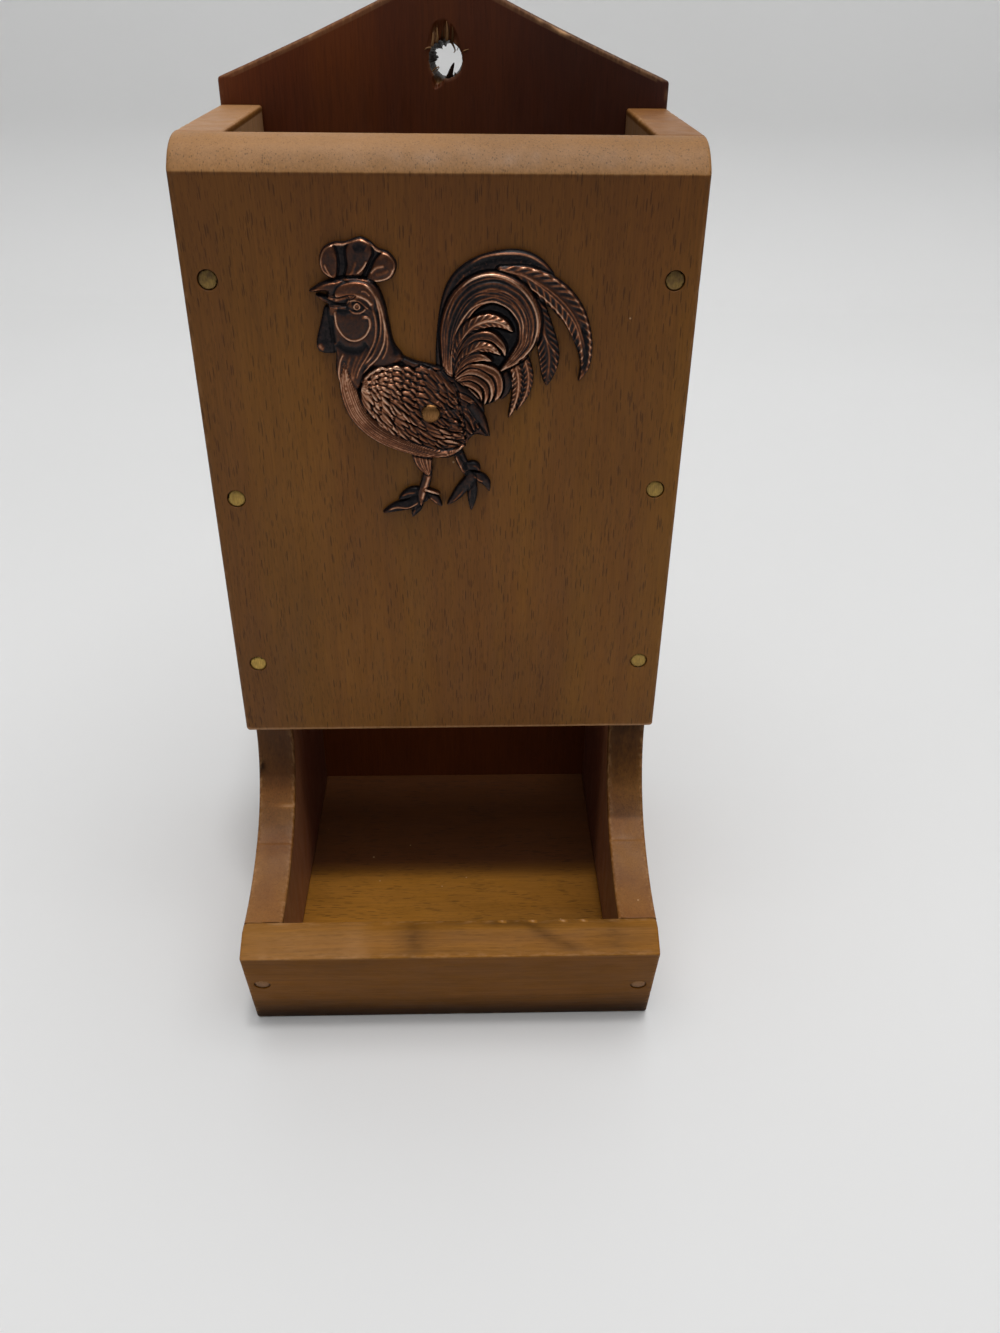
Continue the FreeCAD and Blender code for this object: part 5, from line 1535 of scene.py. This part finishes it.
# %% Rooster pin
DOMED_HEAD = [(-0.7, 0.03, 0), (-0.69, 0.35, 0), (-0.66, 0.7, 0), (-0.58, 1.05, 0), (-0.45, 1.32, 0),
              (-0.28, 1.5, 0), (-0.12, 1.58, 0), (-0.02, 1.6, 0), (0.0, 1.5, 0), (0.0, 0.9, 0),
              (0.05, 0.7, 1), (6.0, 0.7, 1), (7.4, 0.45, 1), (8.3, 0.03, 1)]
rooster_pin = [((ROOSTER_PIN[0], panel_low[1] - SEAT_UP, ROOSTER_PIN[1]), (0, 1, 0), 0.3)]
add_piece("rooster_pin_head", pins_mesh("rooster_pin_head", rooster_pin, DOMED_HEAD), dull_brass,
          "antique_copper", "rooster_pin")

# %% [markdown]
# ## Floor, backdrop and light
# The picture was taken on a white sheet that runs up behind the holder.  The sheet is one
# surface: a flat floor, a wide quarter round and a wall.

# %% Floor and backdrop
SHEET_HALF, SHEET_FRONT, SHEET_TOP = 1.2, -0.9, 0.9      # metres
BEND_START, BEND_RADIUS = 0.52, 0.1                      # where the sheet turns up, and how wide


def paper_sweep():
    """Sheet whose section is a line, a quarter circle and a line: a profile in y and z carried
    straight along x."""
    turn = np.linspace(0, math.pi / 2, 25)[1:]
    y = np.concatenate([[SHEET_FRONT, BEND_START], BEND_START + BEND_RADIUS * np.sin(turn),
                        [BEND_START + BEND_RADIUS]])
    z = np.concatenate([[0, 0], BEND_RADIUS * (1 - np.cos(turn)), [SHEET_TOP]])
    x = np.array([-SHEET_HALF, SHEET_HALF])
    grid = np.stack(np.broadcast_arrays(x[None, :], y[:, None], z[:, None]), -1)
    mesh = bpy.data.meshes.new("paper_sweep")
    mesh.from_pydata(grid.reshape(-1, 3).tolist(), [], lattice(len(y), 2, closed=False).tolist())
    mesh.polygons.foreach_set("use_smooth", [True] * len(mesh.polygons))
    return mesh


sheet_material, tree = new_material("matt_white_paper")
sheet_place = add(tree, "TexCoord")["Object"]
mottle = add(tree, "TexNoise", {"Vector": sheet_place, "Scale": 3.0, "Detail": 2.0})["Fac"]
paper = add(tree, "Mix", {"Factor": mottle, 6: linear("#d9d9d8"), 7: linear("#e2e2e2")}, **COLOURS)[2]
matt = add(tree, "BsdfPrincipled", {"Base Color": paper, "Roughness": 0.9})
add(tree, "OutputMaterial", {"Surface": matt["BSDF"]})
sweep_mesh = paper_sweep()
sweep_mesh.materials.append(sheet_material)
sweep = bpy.data.objects.new("paper_sweep", sweep_mesh)
bpy.context.scene.collection.objects.link(sweep)
print("the sheet has", len(sweep_mesh.polygons), "faces")

# %% [markdown]
# ## Lamps
# The shadows on the sheet are broad and soft on both sides, so most light comes down from a wide
# source, a window or a ceiling: the tops of the boards are light, the upright faces calmer and
# the inside dark.  A small lamp above adds the crisper shadow under the panel and the glints on
# the copper, a weak one fills from the front, and the room is a pale grey.

# %% Lamps
LAMPS = (("window", (0.15, -0.2, 1.5), (0.05, -0.1, 0), 1.6, 18.3),
         ("overhead", (0.085, -0.275, 1.6), (0, 0, 0.05), 0.12, 5.4),
         ("fill", (-0.3, -1.0, 0.7), (0, 0, 0.08), 0.8, 0.8))     # name, place, target, size, watts
ROOM_STRENGTH = 0.18


def soft_lamp(name, place, target, size, watts):
    """Square area lamp at place, turned so that its -Z points at the target."""
    data = bpy.data.lights.new(name, "AREA")
    data.size = size
    data.energy = watts
    lamp = bpy.data.objects.new(name, data)
    lamp.location = place
    lamp.rotation_euler = (Vector(target) - Vector(place)).to_track_quat("-Z", "Y").to_euler()
    bpy.context.scene.collection.objects.link(lamp)


for settings in LAMPS:
    soft_lamp(*settings)
world = bpy.data.worlds.new("pale_room")
bpy.context.scene.world = world
world.use_nodes = True
room = world.node_tree.nodes["Background"]
room.inputs["Color"].default_value = linear("#f2f4f6")
room.inputs["Strength"].default_value = ROOM_STRENGTH
bpy.context.scene.view_settings.view_transform = "Standard"
print(len(LAMPS), "lamps and a pale room")
